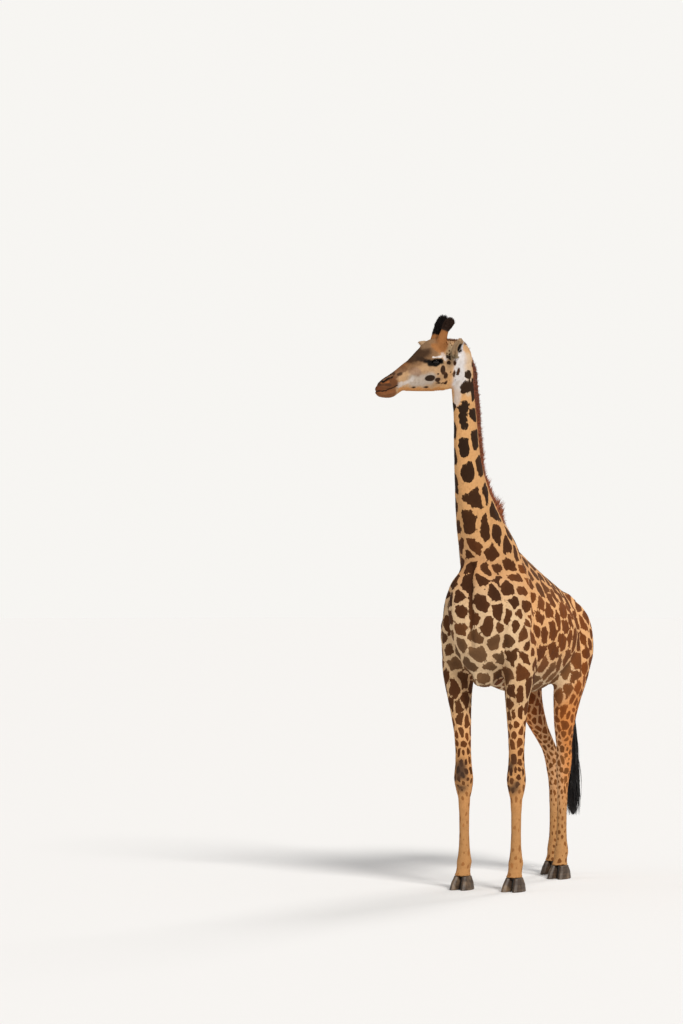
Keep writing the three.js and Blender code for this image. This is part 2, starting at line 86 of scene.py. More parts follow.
def head_place(points):
    """Points of the frame in the head's own millimetres: it faces -Y, with the poll at x = y = 0."""
    return turned((body_place(points) - POLL) / HEAD_SCALE, -HEAD_TURN) * 1000 + POLL_HEIGHT


def from_head(points):
    """Points in the head's own millimetres, brought to the frame."""
    p = (np.asarray(points, float).reshape(-1, 3) - POLL_HEIGHT) / 1000 * HEAD_SCALE
    return turned(p, HEAD_TURN) + POLL + FORELEGS


def from_body(points):
    """Points in millimetres from the floor between the forefeet, brought to the frame."""
    return np.asarray(points, float).reshape(-1, 3) / 1000 + FORELEGS


def smooth_step(low, high, value):
    """0 at low, 1 at high, and a soft rise or fall between them."""
    t = np.clip((value - low) / (high - low), 0, 1)
    return t * t * (3 - 2 * t)


def blob(points, centre, radii):
    """1 at the centre of a soft ball with these radii, falling to 0 outside it."""
    d = (points - np.asarray(centre, float)) / np.asarray(radii, float)
    return np.exp(-1.8 * (d * d).sum(1))


def hashed(cells, salt):
    """A fixed number from -1 to 1 for each cell of a lattice."""
    h = (cells[:, 0] * 73856093) ^ (cells[:, 1] * 19349663) ^ (cells[:, 2] * 83492791) ^ (salt * 15485863)
    h = (h ^ (h >> 13)) * 1274126177
    return ((h ^ (h >> 16)) & 0xFFFFF) / 524287.5 - 1


def drift(points, wave, salt=0):
    """Smooth noise from -1 to 1, with bumps about one wave wide."""
    scaled = points / wave
    base = np.floor(scaled).astype(np.int64)
    t = scaled - base
    t = t * t * (3 - 2 * t)
    total = np.zeros(len(points))
    for corner in np.ndindex(2, 2, 2):
        total += np.prod(np.where(corner, t, 1 - t), axis=1) * hashed(base + corner, salt)
    return total


# ---------------------------------------------------------------- mesh tools

def deselect():
    if bpy.context.object and bpy.context.object.mode != "OBJECT":
        bpy.ops.object.mode_set(mode="OBJECT")
    bpy.ops.object.select_all(action="DESELECT")


def activate(piece):
    deselect()
    piece.select_set(True)
    bpy.context.view_layer.objects.active = piece


def apply_modifier(piece, kind, **settings):
    activate(piece)
    modifier = piece.modifiers.new(kind.title(), kind)
    for key, value in settings.items():
        setattr(modifier, key, value)
    bpy.ops.object.modifier_apply(modifier=modifier.name)


def edit(piece, *steps):
    """Does these steps on the whole of a piece in edit mode."""
    activate(piece)
    bpy.ops.object.mode_set(mode="EDIT")
    bpy.ops.mesh.select_all(action="SELECT")
    for step in steps:
        step()
    bpy.ops.object.mode_set(mode="OBJECT")


def copy_of(names, label):
    """A merged copy of these CAD nodes as one object."""
    copies = []
    for name in names:
        copy = nodes[name].copy()
        copy.data = nodes[name].data.copy()
        copy.parent = None
        for key in list(copy.keys()):
            del copy[key]
        bpy.context.scene.collection.objects.link(copy)
        copies.append(copy)
    deselect()
    for copy in copies:
        copy.select_set(True)
    bpy.context.view_layer.objects.active = copies[0]
    if len(copies) > 1:
        bpy.ops.object.join()
    piece = bpy.context.view_layer.objects.active
    piece.name = piece.data.name = label
    piece.data.materials.clear()
    edit(piece, lambda: bpy.ops.mesh.remove_doubles(threshold=1e-5),
         lambda: bpy.ops.mesh.normals_make_consistent(inside=False))
    return piece


def fatten(piece, depth):
    """Moves the whole surface outwards, or inwards where depth is negative."""
    edit(piece, lambda: bpy.ops.transform.shrink_fatten(value=depth, use_even_offset=False))


def read(items, key, width=1, kind=np.int64):
    """One value, or a row of them, for each item of a mesh."""
    values = np.empty(len(items) * width, kind)
    items.foreach_get(key, values)
    return values.reshape(-1, width) if width > 1 else values


def points_of(piece):
    return read(piece.data.vertices, "co", 3, np.float32).astype(float)


def normals_of(piece):
    return read(piece.data.vertex_normals, "vector", 3, np.float32).astype(float)


def shade_smooth(piece):
    piece.data.polygons.foreach_set("use_smooth", np.ones(len(piece.data.polygons), bool))


def move_points(piece, points):
    piece.data.vertices.foreach_set("co", points.astype(np.float32).ravel())
    piece.data.update()


def keep_largest(piece):
    """Drops the loose bubbles that a remesh can leave inside."""
    edit(piece, lambda: bpy.ops.mesh.separate(type="LOOSE"))
    parts = sorted(bpy.context.selected_objects, key=lambda part: len(part.data.vertices))
    largest, label = parts.pop(), piece.name
    for part in parts:
        bpy.data.objects.remove(part)
    largest.name = label
    return largest


def relax(piece, rounds, keep=0.5, back=-0.515, share=None):
    """Evens out facets without shrinking the form: each round smooths in and then out again."""
    points = points_of(piece)
    a, b = read(piece.data.edges, "vertices", 2).T
    count = len(points)
    degree = np.maximum(np.bincount(a, minlength=count) + np.bincount(b, minlength=count), 1)
    amount = np.ones(count) if share is None else share
    for _ in range(rounds):
        for factor in (keep, back):
            mean = np.stack([np.bincount(a, points[b, k], count) + np.bincount(b, points[a, k], count)
                             for k in range(3)], 1) / degree[:, None]
            points = points + (mean - points) * (factor * amount)[:, None]
    move_points(piece, points)


# ---------------------------------------------------------------- regions and the lie of the coat

def both_sides(name, points):
    """A chain for the left side and its mirror image for the right one."""
    mirror = [(-x, y, z) for x, y, z in points]
    return {f"{name}_left": from_body(points), f"{name}_right": from_body(mirror)}


# Each chain runs the way the hair lies: from the muzzle to the tail and down the legs.
CHAINS = {
    "head": from_head([(0, -720, 3640), (0, -560, 3700), (0, -400, 3790), (0, -200, 3870), (0, -20, 3890)]),
    "neck": from_body([(-8, -506, 3850), (-6, -500, 3630), (-2, -474, 3420), (0, -430, 3139),
                       (0, -340, 2880), (0, -190, 2630), (0, -40, 2400), (0, 40, 2250)]),
    "trunk": from_body([(0, -280, 2020), (0, -20, 1950), (0, 450, 1905), (0, 930, 1850),
                        (0, 1310, 1850), (0, 1500, 1845)]),
    "hindleg_left": from_body([(186, 1215, 1740), (196, 1105, 1470), (158, 1090, 1130),
                               (126, 1172, 880), (115, 1155, 450), (112, 1118, 90)]),
    "hindleg_right": from_body([(-186, 1230, 1740), (-190, 1195, 1470), (-142, 1320, 1130),
                                (-99, 1510, 880), (-82, 1508, 450), (-78, 1466, 90)]),
    "tail": from_body([(0, 1522, 1965), (8, 1578, 1860), (16, 1592, 1700), (24, 1592, 1184)]),
    "ear_left": from_head([(74, -96, 3896), (190, -130, 3950), (308, -160, 4008)]),
    "ear_right": from_head([(-74, -96, 3896), (-166, -170, 3950), (-260, -256, 4006)]),
    "ossicone_left": from_head([(54, -205, 3935), (60, -182, 4066), (66, -143, 4172)]),
    "ossicone_right": from_head([(-54, -205, 3935), (-60, -182, 4078), (-66, -143, 4184)]),
}
CHAINS.update(both_sides("foreleg", [(225, -50, 1760), (240, -30, 1590), (226, -20, 1400), (209, 0, 980),
                                     (207, 2, 800), (204, 2, 430), (203, -32, 90)]))
GIRTH = {"head": 0.10, "neck": 0.13, "trunk": 0.30, "foreleg": 0.08, "hindleg": 0.09,
         "tail": 0.026, "ear": 0.045, "ossicone": 0.034}


def along_chain(points, chain):
    """Distance to a chain, the share of its length, and its direction there, for each point."""
    lengths = np.linalg.norm(np.diff(chain, axis=0), axis=1)
    starts = np.concatenate([[0], np.cumsum(lengths)[:-1]])
    best = np.full(len(points), 1e9)
    share = np.zeros(len(points))
    way = np.zeros((len(points), 3))
    for a, b, start, length in zip(chain[:-1], chain[1:], starts, lengths):
        axis = (b - a) / length
        t = np.clip((points - a) @ axis, 0, length)
        d = np.linalg.norm(points - a - t[:, None] * axis, axis=1)
        near = d < best
        best[near] = d[near]
        share[near] = ((start + t) / lengths.sum())[near]
        way[near] = axis
    return best, share, way


def body_map(points, normals):
    """How much each point belongs to each part of the body, and how its hair lies."""
    weights, share, lie = {}, {}, np.zeros_like(points)
    total = np.zeros(len(points))
    for name, chain in CHAINS.items():
        part = name.split("_")[0]
        distance, along, way = along_chain(points, chain)
        weight = (distance / GIRTH[part] + 0.05) ** -6.0
        weights[part] = weights.get(part, 0) + weight
        share[name] = along
        lie += way * weight[:, None]
        total += weight
    weights = {part: weight / total for part, weight in weights.items()}
    lie = lie / total[:, None]
    lie[:, 2] -= 0.35 * (1 - weights["ear"] - weights["ossicone"] - weights["head"])
    lie -= normals * (lie * normals).sum(1)[:, None]
    lie /= np.maximum(np.linalg.norm(lie, axis=1), 1e-6)[:, None]
    return weights, share, lie


def tree_of(piece):
    return bvhtree.BVHTree.FromPolygons([v.co for v in piece.data.vertices],
                                        [list(face.vertices) for face in piece.data.polygons])


# ---------------------------------------------------------------- the skin

def smooth_guide():
    """A coarse, even form of the large parts, free of the solids' facets."""
    guide = copy_of([name for name in FLESH if not name.startswith(("ear", "ossicone", "tail"))], "guide")
    fatten(guide, CUT_CLOSER)
    apply_modifier(guide, "REMESH", mode="VOXEL", voxel_size=0.019)
    guide = keep_largest(guide)
    relax(guide, 50)
    body = body_place(points_of(guide))
    torso = smooth_step(1.45, 1.7, body[:, 2]) * smooth_step(2.8, 2.5, body[:, 2])
    neck_base = blob(body, (0, -0.3, 2.3), (0.4, 0.3, 0.35))
    relax(guide, 9, back=0.0, share=np.clip(0.45 * torso + neck_base, 0, 1))
    return guide


def follow_guide(skin, guide, share):
    """Moves the skin onto the guide by a share of the way, point by point."""
    tree = tree_of(guide)
    points = points_of(skin)
    for i in np.nonzero(share > 0.01)[0]:
        near = tree.find_nearest(points[i])[0]
        if near is not None:
            points[i] += (np.array(near) - points[i]) * share[i]
    move_points(skin, points)


# Forms under the skin, in millimetres: (height, one end, other end, width). A mirror image is on the right.
BODY_FORMS = [
    (-27, (0, -330, 2360), (0, -330, 1800), 26),  # furrow down the middle of the chest
    (20, (105, -330, 2250), (110, -320, 1880), 58),  # breast muscles
    (-20, (215, -250, 2280), (195, -240, 1780), 30),  # between breast and shoulder
    (18, (175, 60, 2330), (262, -60, 1930), 30),  # spine of the shoulder blade
    (20, (285, -110, 1930), (290, -90, 1850), 50),  # point of the shoulder
    (-22, (290, 190, 2200), (315, 150, 1640), 34),  # behind the shoulder
    (16, (300, 70, 2000), (300, 60, 1720), 62),  # upper arm
    (-8, (250, -90, 1780), (235, -70, 1560), 24),  # front of the upper arm
    (10, (270, 90, 1640), (260, 95, 1600), 34),  # elbow
    (-22, (270, 1000, 2060), (260, 1040, 1930), 95),  # flank hollow
    (22, (175, 1160, 2120), (200, 1180, 2090), 40),  # hip bone
    (9, (235, 1330, 1900), (235, 1300, 1700), 75),  # buttock
    (-18, (245, 1120, 1800), (215, 1130, 1560), 30),  # front edge of the thigh
    (8, (240, 1090, 1480), (240, 1090, 1430), 38),  # stifle
    (-5, (60, -520, 3500), (58, -380, 2600), 16),  # beside the windpipe
    (4, (0, -560, 3500), (0, -420, 2650), 22),  # windpipe
    (-7, (95, -330, 2950), (150, -230, 2450), 30),  # between the muscles of the neck
    (7, (60, -250, 3000), (120, -60, 2500), 45),
]
HEAD_FORMS = [
    (7, (84, -300, 3902), (92, -238, 3900), 15),  # brow
    (-6, (84, -190, 3920), (80, -160, 3900), 26),  # hollow of the temple
    (8, (72, -250, 3745), (76, -150, 3800), 48),  # cheek muscle
    (5, (96, -330, 3790), (74, -480, 3745), 15),  # crest of the cheek
    (-5, (84, -350, 3740), (62, -500, 3700), 20),  # below the crest
    (5, (0, -330, 3968), (0, -270, 3990), 30),  # bump of the forehead
    (5, (44, -590, 3760), (22, -690, 3700), 14),  # rim of the nostril
    (-13, (48, -606, 3742), (35, -664, 3704), 8),  # nostril
    (-7, (56, -548, 3664), (50, -625, 3642), 6),  # mouth
    (-7, (50, -625, 3642), (0, -712, 3628), 6),
    (4, (50, -600, 3668), (30, -690, 3655), 13),  # upper lip
    (4, (44, -590, 3620), (20, -670, 3612), 13),  # lower lip
]


def ridge(points, start, end, width):
    """1 on the line between two points, falling to 0 at about twice the width from it."""
    start, end = np.array(start, float), np.array(end, float)
    axis = end - start
    t = np.clip((points - start) @ axis / (axis @ axis), 0, 1)
    d = np.linalg.norm(points - start - t[:, None] * axis, axis=1)
    return np.exp(-(d / width) ** 2)


def mirrored(points):
    """The same points, all brought to the left side."""
    return np.abs(points) * [1, 0, 0] + points * [0, 1, 1]


def on_surface(tree, ends):
    """The line between two points, laid onto a surface."""
    line = [ends[0] + (ends[1] - ends[0]) * t for t in np.linspace(0, 1, 7)]
    laid = np.array([tree.find_nearest(point)[0] for point in line])
    return laid[np.append(True, np.linalg.norm(np.diff(laid, axis=0), axis=1) > 1e-5)]


RIB_SPACING = 82  # millimetres


def sculpt(skin):
    """Raises muscles and bones and sinks hollows, along the skin's own outward direction."""
    points, normals = points_of(skin), normals_of(skin)
    tree = tree_of(skin)
    height = np.zeros(len(points))
    for forms, to_frame in ((BODY_FORMS, from_body), (HEAD_FORMS, from_head)):
        for rise, start, end, width in forms:
            reach = np.zeros(len(points))
            for side in (-1, 1) if start[0] or end[0] else (1,):
                line = on_surface(tree, to_frame(np.array([start, end]) * [side, 1, 1]))
                margin = width * 0.0025  # two and a half widths, in metres
                near = ((points > line.min(0) - margin) & (points < line.max(0) + margin)).all(1)
                away = np.linalg.norm(points[near] - line[0], axis=1)
                if len(line) > 1:
                    away = along_chain(points[near], line)[0]
                reach[near] = np.maximum(reach[near], np.exp(-(away * 1000 / width) ** 2))
            height += rise * reach
    body = mirrored(body_place(points)) * 1000
    ribs = smooth_step(300, 420, body[:, 1]) * smooth_step(1040, 900, body[:, 1])
    ribs *= smooth_step(1600, 1750, body[:, 2]) * smooth_step(2280, 2120, body[:, 2])
    slant = body[:, 1] + 0.35 * (2000 - body[:, 2])
    height += 2.2 * ribs * np.sin(slant / RIB_SPACING * 2 * math.pi)
    height += 1.2 * drift(points, 0.05, 7) * smooth_step(1300, 1700, body[:, 2]) * (body[:, 2] < 3400)
    move_points(skin, points + normals * (height / 1000)[:, None])


def open_eyes(skin):
    """Lids that lie over each eyeball, and a socket behind it."""
    points = points_of(skin)
    at_head = head_place(points)
    for side in (-1, 1):
        out = (at_head[:, 0] * side) - EYE[0]
        run = at_head[:, 1] - EYE[1]
        rise = at_head[:, 2] - EYE[2] - EYE_SLANT * run
        radius = np.hypot(run, rise)
        near = (radius < SOCKET_RADIUS) & (out > -SOCKET_DEPTH)
        lid = np.sqrt(np.clip(LID_RADIUS ** 2 - np.minimum(radius, LID_RADIUS) ** 2, 0, None))
        opening = np.hypot(run / LID_RUN, rise / np.where(rise > 0, UPPER_LID, LOWER_LID))
        dome = np.where(radius < LID_RADIUS, lid, -40)
        skin_out = np.maximum(out, dome) * (opening > 1) + np.minimum(out, lid - 9) * (opening <= 1)
        at_head[near, 0] = (side * (EYE[0] + skin_out))[near]
    move_points(skin, from_head(at_head))


def refine(skin, area):
    """Divides the faces whose corners all lie in the area."""
    activate(skin)
    bpy.ops.object.mode_set(mode="EDIT")
    bpy.ops.mesh.select_all(action="DESELECT")
    bpy.ops.object.mode_set(mode="OBJECT")
    corners = read(skin.data.loops, "vertex_index")
    starts = read(skin.data.polygons, "loop_start")
    chosen = np.minimum.reduceat(area[corners].astype(int), starts).astype(bool)
    skin.data.polygons.foreach_set("select", chosen)
    bpy.ops.object.mode_set(mode="EDIT")
    bpy.ops.mesh.select_mode(type="FACE")
    bpy.ops.mesh.subdivide(number_cuts=1)
    bpy.ops.object.mode_set(mode="OBJECT")


def ear_distance(points):
    """Distance to the middle line of the nearer ear."""
    return np.minimum(*(along_chain(points, CHAINS[part])[0] for part in ("ear_left", "ear_right")))


def fine_area(points):
    """The eyes, nostrils, lips and ears."""
    side = mirrored(head_place(points))
    area = np.linalg.norm((side - [95, -268, 3851]) / [45, 62, 52], axis=1) < 1
    area |= np.linalg.norm((side - [30, -640, 3690]) / [60, 105, 85], axis=1) < 1
    area |= (ear_distance(points) < 0.075) & (side[:, 0] > 90)
    return area


def thin_out(skin, count):
    """Brings the skin down to a number of triangles: even ones, smallest on the head and the legs."""
    points = points_of(skin)
    z = body_place(points)[:, 2]
    on_head = smooth_step(60, -60, head_place(points)[:, 1]) * smooth_step(3.4, 3.6, z)
    weight = 0.5 - 0.4 * on_head - 0.2 * smooth_step(1.45, 1.2, z)
    weight[fine_area(points)] = 0
    group = skin.vertex_groups.new(name="even_skin")
    levels = np.round(weight * 20).astype(int)
    for level in range(1, 11):
        group.add(np.nonzero(levels == level)[0].tolist(), level / 20, "REPLACE")
    edit(skin, lambda: bpy.ops.mesh.quads_convert_to_tris())
    apply_modifier(skin, "DECIMATE", ratio=count / len(skin.data.polygons), vertex_group=group.name,
                   vertex_group_factor=1.0)
    skin.vertex_groups.clear()


def make_skin():
    """One skin from copies of the solids of flesh: joined, evened out, then sculpted."""
    ear_solids = copy_of([name for name in FLESH if name.startswith("ear")], "ears")
    fatten(ear_solids, 0.0035)  # a remesh would tear the thin ears
    skin = copy_of([name for name in FLESH if not name.startswith("ear")], "skin")
    fatten(skin, CUT_CLOSER)
    activate(skin)
    ear_solids.select_set(True)
    bpy.ops.object.join()
    apply_modifier(skin, "REMESH", mode="VOXEL", voxel_size=SKIN_VOXEL)
    skin = keep_largest(skin)
    points = points_of(skin)
    at_head, at_body = head_place(points), body_place(points)
    head = smooth_step(60, -40, at_head[:, 1]) * smooth_step(3480, 3600, at_head[:, 2])
    ears = smooth_step(0.085, 0.065, ear_distance(points)) * smooth_step(95, 120, np.abs(at_head[:, 0]))
    tail = smooth_step(1.50, 1.54, at_body[:, 1])
    guide = smooth_guide()
    share = (1 - head) * (1 - tail) * smooth_step(0.95, 1.15, at_body[:, 2])
    follow_guide(skin, guide, share)
    bpy.data.objects.remove(guide)
    relax(skin, 40, share=1 - 0.35 * head * (1 - ears))
    move_points(skin, points_of(skin) - normals_of(skin) * (COAT_DEPTH * (1 - ears))[:, None])
    refine(skin, fine_area(points_of(skin)))
    sculpt(skin)
    open_eyes(skin)
    relax(skin, 3)
    thin_out(skin, SKIN_TRIANGLES)
    return skin


skin = make_skin()

# ---------------------------------------------------------------- markings

def linear(r, g, b):
    """A colour given as on a paint card, from 0 to 255, in linear light."""
    return np.array([(c / 255 / 12.92) if c < 10.3 else ((c / 255 + 0.055) / 1.055) ** 2.4 for c in (r, g, b)])


def layered(count, base, *layers):
    """Colours laid over each other: each layer is a colour and how much of it shows."""
    colour = np.tile(base, (count, 1))
    for tint, amount in layers:
        amount = np.clip(amount, 0, 1)[:, None]
        colour = colour * (1 - amount) + tint * amount
    return colour


def blotch_size(body, weights):
    """Spacing of the blotches from middle to middle, in metres, and how much longer they are than wide."""
    y, z = body.T[1:]
    neck = 0.112 + 0.02 * smooth_step(3.3, 2.6, z)
    trunk = 0.132 + 0.018 * smooth_step(0.1, 0.5, y) - 0.045 * smooth_step(1.0, 1.35, y)
    trunk = trunk - 0.02 * smooth_step(2.05, 2.35, z) * smooth_step(0.0, 0.4, y)
    fore = 0.050 + 0.062 * smooth_step(0.85, 1.75, z)
    hind = 0.042 + 0.046 * smooth_step(0.8, 1.7, z)
    small = weights["head"] + weights["tail"] + weights["ear"] + weights["ossicone"]
    size = (neck * weights["neck"] + trunk * weights["trunk"] + fore * weights["foreleg"]
            + hind * weights["hindleg"] + 0.04 * small)
    longer = 1.1 + 0.4 * weights["neck"] + 0.2 * weights["foreleg"]
    return size, longer


SEEDS_TRIED = 15000
TURN_COUNTS = 0.05  # metres that a turn of the surface by 60 degrees counts for between two blotches


def spread_seeds(points, normals, size, lie, longer):
    """Middles of blotches, large and small: no two nearer than the spacing there."""
    order = rng.permutation(len(points))[:SEEDS_TRIED]
    scale = rng.uniform(0.56, 1.04, len(order))
    chosen = np.empty(0, int)
    spots = np.empty((0, 3))
    for i, room in zip(order, scale):
        if len(chosen):
            step = points[i] - spots
            run = (step * lie[chosen]).sum(1)
            d2 = (step * step).sum(1) - run * run * (1 - 1 / longer[chosen] ** 2)
            d2 += ((normals[i] - normals[chosen]) ** 2).sum(1) * TURN_COUNTS ** 2
            if (d2 < (room * size[i]) ** 2).any():
                continue
        chosen = np.append(chosen, i)
        spots = np.vstack([spots, points[i]])
    return chosen


def point_tree(points):
    tree = kdtree.KDTree(len(points))
    for i, point in enumerate(points):
        tree.insert(point, i)
    tree.balance()
    return tree


def nearest_two(points, normals, seeds):
    """For each point its nearest two seeds, measured in units of their spacing."""
    tree = point_tree(seeds["spot"])
    near = np.array([[hit[1] for hit in tree.find_n(point, 14)] for point in points])
    step = points[:, None] - seeds["spot"][near]
    run = (step * seeds["lie"][near]).sum(2)
    d2 = (step * step).sum(2) - run * run * (1 - 1 / seeds["longer"][near] ** 2)
    d2 += ((normals[:, None] - seeds["normal"][near]) ** 2).sum(2) * TURN_COUNTS ** 2
    d = np.sqrt(np.maximum(d2, 0)) / seeds["size"][near]
    rank = np.argsort(d, axis=1)[:, :2]
    first, second = np.take_along_axis(d, rank, 1).T
    return first, second, np.take_along_axis(near, rank[:, :1], 1)[:, 0]


def warp(points, wave, depth):
    """Points pushed about by smooth noise of that width, by up to the depth at each."""
    push = np.stack([drift(points, wave, salt) for salt in (1, 2, 3)], 1)
    return points + push * np.reshape(depth, (-1, 1))


# Dark spots of the face: (place in the head's millimetres, half-length, half-height)
FACE_SPOTS = [
    ((95, -308, 3727), 44, 25),  # cheek
    ((92, -245, 3718), 24, 17),
    ((84, -323, 3662), 28, 9),  # edge of the jaw
    ((84, -218, 3692), 36, 9),
    ((104, -212, 3790), 20, 36),  # below and behind the eye
    ((104, -182, 3750), 19, 27),
    ((100, -168, 3842), 17, 14),
    ((100, -150, 3776), 10, 17),
    ((92, -114, 3838), 12, 18),
    ((92, -114, 3745), 11, 34),
    ((88, -80, 3790), 8, 20),
    ((60, -420, 3660), 22, 7),
    ((90, -12, 3662), 56, 52),  # first blotches of the neck
    ((80, -30, 3506), 44, 62),
    ((90, 2, 3764), 34, 34),
    ((86, -96, 3700), 9, 20),
    ((98, -172, 3700), 11, 9),
    ((100, -250, 3760), 9, 6),
    ((94, -140, 3720), 8, 12),
]

# Colours of the face: (colour, one end, other end, half-width, how much of it)
FACE_COLOURS = [
    ((176, 166, 156), (85, -300, 3722), (60, -430, 3712), 46, 0.9),  # pale cheek, darkened with painted shade
    ((150, 122, 102), (90, -440, 3786), (88, -400, 3768), 30, 0.8),
    ((192, 184, 178), (66, -550, 3668), (78, -440, 3722), 20, 0.9),  # pale corner of the mouth, with a painted highlight along it
    ((202, 186, 164), (96, 14, 3880), (86, 12, 3640), 40, 0.7),  # behind the ear
    ((208, 204, 204), (110, -70, 3900), (80, -62, 3690), 50, 1.0),  # side of the throat
    ((200, 192, 186), (80, -66, 3690), (78, -84, 3540), 26, 0.8),
    ((190, 134, 80), (40, -520, 3634), (45, -170, 3636), 24, 0.9),  # underside of the jaw
    ((168, 108, 58), (0, -470, 3866), (0, -610, 3772), 42, 1.0),  # bridge of the nose
    ((116, 84, 62), (46, -505, 3795), (48, -600, 3735), 30, 0.85),
    ((58, 40, 28), (58, -526, 3770), (58, -545, 3762), 13, 0.9),
    ((106, 74, 48), (40, -480, 3850), (70, -310, 3935), 72, 0.75),  # brown forehead
    ((52, 35, 22), (34, -448, 3880), (58, -345, 3930), 44, 0.9),  # its dark middle
    ((54, 38, 26), (84, -395, 3876), (92, -335, 3856), 20, 1.0),
    ((132, 106, 80), (0, -330, 3990), (0, -240, 4010), 46, 0.9),  # grey crown
    ((166, 112, 64), (62, -262, 3962), (66, -222, 3925), 30, 0.8),  # base of the ossicone
    ((214, 204, 200), (92, -205, 3900), (92, -190, 3880), 20, 0.8),  # behind the brow
    ((228, 226, 228), (92, -292, 3880), (94, -228, 3888), 9, 1.0),  # brow: pale, with a painted highlight over the upper lid
    ((100, 63, 38), (30, -600, 3690), (0, -700, 3680), 58, 1.0),  # muzzle
    ((58, 39, 25), (38, -585, 3768), (20, -704, 3704), 27, 0.85),  # its dark top
    ((150, 92, 50), (54, -632, 3708), (38, -672, 3694), 13, 0.85),
    ((66, 44, 30), (54, -618, 3676), (18, -706, 3680), 11, 0.75),
    ((24, 16, 12), (48, -606, 3742), (35, -664, 3704), 10, 1.0),  # nostril, darkened with painted shade in its opening
    ((112, 62, 38), (0, -716, 3668), (20, -700, 3645), 22, 0.8),  # front of the lip
    ((124, 75, 41), (20, -704, 3616), (30, -585, 3612), 30, 0.9),  # lower lip
    ((136, 100, 74), (46, -596, 3760), (28, -668, 3728), 6, 0.7),
    ((44, 28, 20), (56, -550, 3664), (50, -625, 3642), 6, 0.95),  # mouth: painted shade along the crease between the lips
    ((44, 28, 20), (50, -625, 3642), (0, -714, 3628), 6, 0.95),
    ((14, 11, 10), (98, -308, 3843), (98, -236, 3849), 28, 1.0),  # dark rim of the eye
    ((14, 11, 10), (98, -350, 3856), (98, -300, 3848), 9, 1.0),
    ((150, 134, 108), (140, -150, 3990), (130, -140, 3890), 34, 0.9),  # front of the ear
    ((226, 224, 228), (170, -74, 4020), (140, -72, 3905), 24, 1.0),  # back of the ear
    ((24, 19, 17), (165, -104, 4012), (140, -100, 3925), 13, 1.0),  # dark slit of the ear: painted shade in the opening of its cup
]


def face_mark(at_head):
    """How deep inside a dark spot of the face each point lies, in metres."""
    mark = np.full(len(at_head), -0.05)
    for centre, run, rise in FACE_SPOTS:
        d = (at_head - np.array(centre, float)) / np.array([60, run, rise])
        mark = np.maximum(mark, (1 - np.sqrt((d * d).sum(1))) * min(run, rise) * 0.001)
    return mark


def face_layers(at_head):
    """The colours of the face with soft, uneven edges, each with how much of it shows."""
    flat = np.array([0.4, 1, 1])
    ones = np.ones(len(at_head))
    left = mirrored(at_head)
    wavy = warp(warp(left, 38, 10 * ones), 14, 5 * ones)
    fine = warp(left, 14, 3 * ones)
    for colour, start, end, width, amount in FACE_COLOURS:
        on_muzzle = start[1] < -500
        soft = 0.16 if width > 40 else 0 if on_muzzle else 0.10
        if width < 20 and on_muzzle:
            away = along_chain(from_head(fine), on_surface(skin_tree, from_head([start, end])))[0] * 1000
            shown = np.exp(-(away / width) ** 2)
        else:
            shown = ridge((fine if width < 20 else wavy) * flat, start * flat, end * flat, width)
        yield linear(*colour), amount * smooth_step(0.26 - soft, 0.48 + soft, shown)


def knee_shade(body):
    """Dark smudges on the fronts of the knees."""
    knees = sum(ridge(body, (side, -0.10, 0.90), (side, -0.10, 0.76), 0.075) for side in (0.2, -0.2))
    return smooth_step(0.1, 0.8, knees) * smooth_step(-0.4, 0.4, drift(body, 0.06, 9))


ASIDE, BACK, UP = 0, 1, 2  # ways to measure: out from the middle plane, towards the tail, from the floor

# Colours of the blotches: (colour, how much of it, part of the body, then limits, each as a way to measure
# and the metres where the colour is at none and at full)
BLOTCH_COLOURS = [
    ((60, 36, 18), 1, "neck"),
    ((46, 31, 20), 1, "neck", (UP, 2.9, 3.4)),
    ((72, 41, 20), 1, "trunk", (BACK, 0.05, -0.2), (UP, 1.85, 2.1)),
    ((88, 54, 28), 1, "trunk", (BACK, 0.05, -0.2), (UP, 2.1, 1.85)),
    ((116, 86, 58), 0.75, "all", (UP, 1.98, 1.74), (BACK, -0.02, -0.16), (ASIDE, 0.26, 0.18)),
    ((122, 90, 58), 0.75, "trunk", (UP, 1.72, 1.5), (BACK, 0.0, 0.4), (BACK, 1.15, 0.95)),
    ((92, 58, 32), 1, "trunk", (UP, 2.0, 2.3), (BACK, 0.1, 0.4)),
    ((78, 44, 20), 1, "foreleg", (UP, 1.0, 1.5)),
    ((88, 50, 22), 1, "foreleg", (UP, 1.2, 0.9)),
    ((150, 100, 56), 1, "foreleg", (UP, 0.85, 0.65)),
    ((128, 68, 26), 1, "hindleg"),
    ((120, 74, 36), 1, "hindleg", (UP, 1.3, 0.9)),
    ((44, 32, 23), 1, "head"),
    ((60, 45, 35), 1, "knee"),
]

# Colours between the blotches, in the same way
GROUND_COLOURS = [
    ((214, 184, 146), 1, "trunk", (BACK, 0.05, -0.2)),
    ((210, 186, 152), 1, "trunk", (UP, 1.75, 1.45)),
    ((200, 150, 102), 1, "trunk", (UP, 2.0, 2.4)),
    ((206, 158, 106), 1, "neck"),
    ((206, 172, 130), 1, "foreleg", (UP, 1.2, 1.4)),
    ((196, 144, 92), 1, "foreleg", (UP, 1.25, 0.9)),
    ((212, 152, 94), 0.8, "hindleg"),
    ((208, 136, 74), 1, "hindleg", (UP, 1.7, 1.2)),
    ((214, 184, 146), 0.5, "hindleg", (ASIDE, 0.19, 0.10)),
    ((178, 132, 84), 1, "legs", (UP, 0.8, 0.4)),
    ((84, 62, 46), 1, "knee"),
    ((182, 148, 112), 1.5, "head"),
    ((178, 150, 118), 1, "ear"),
]

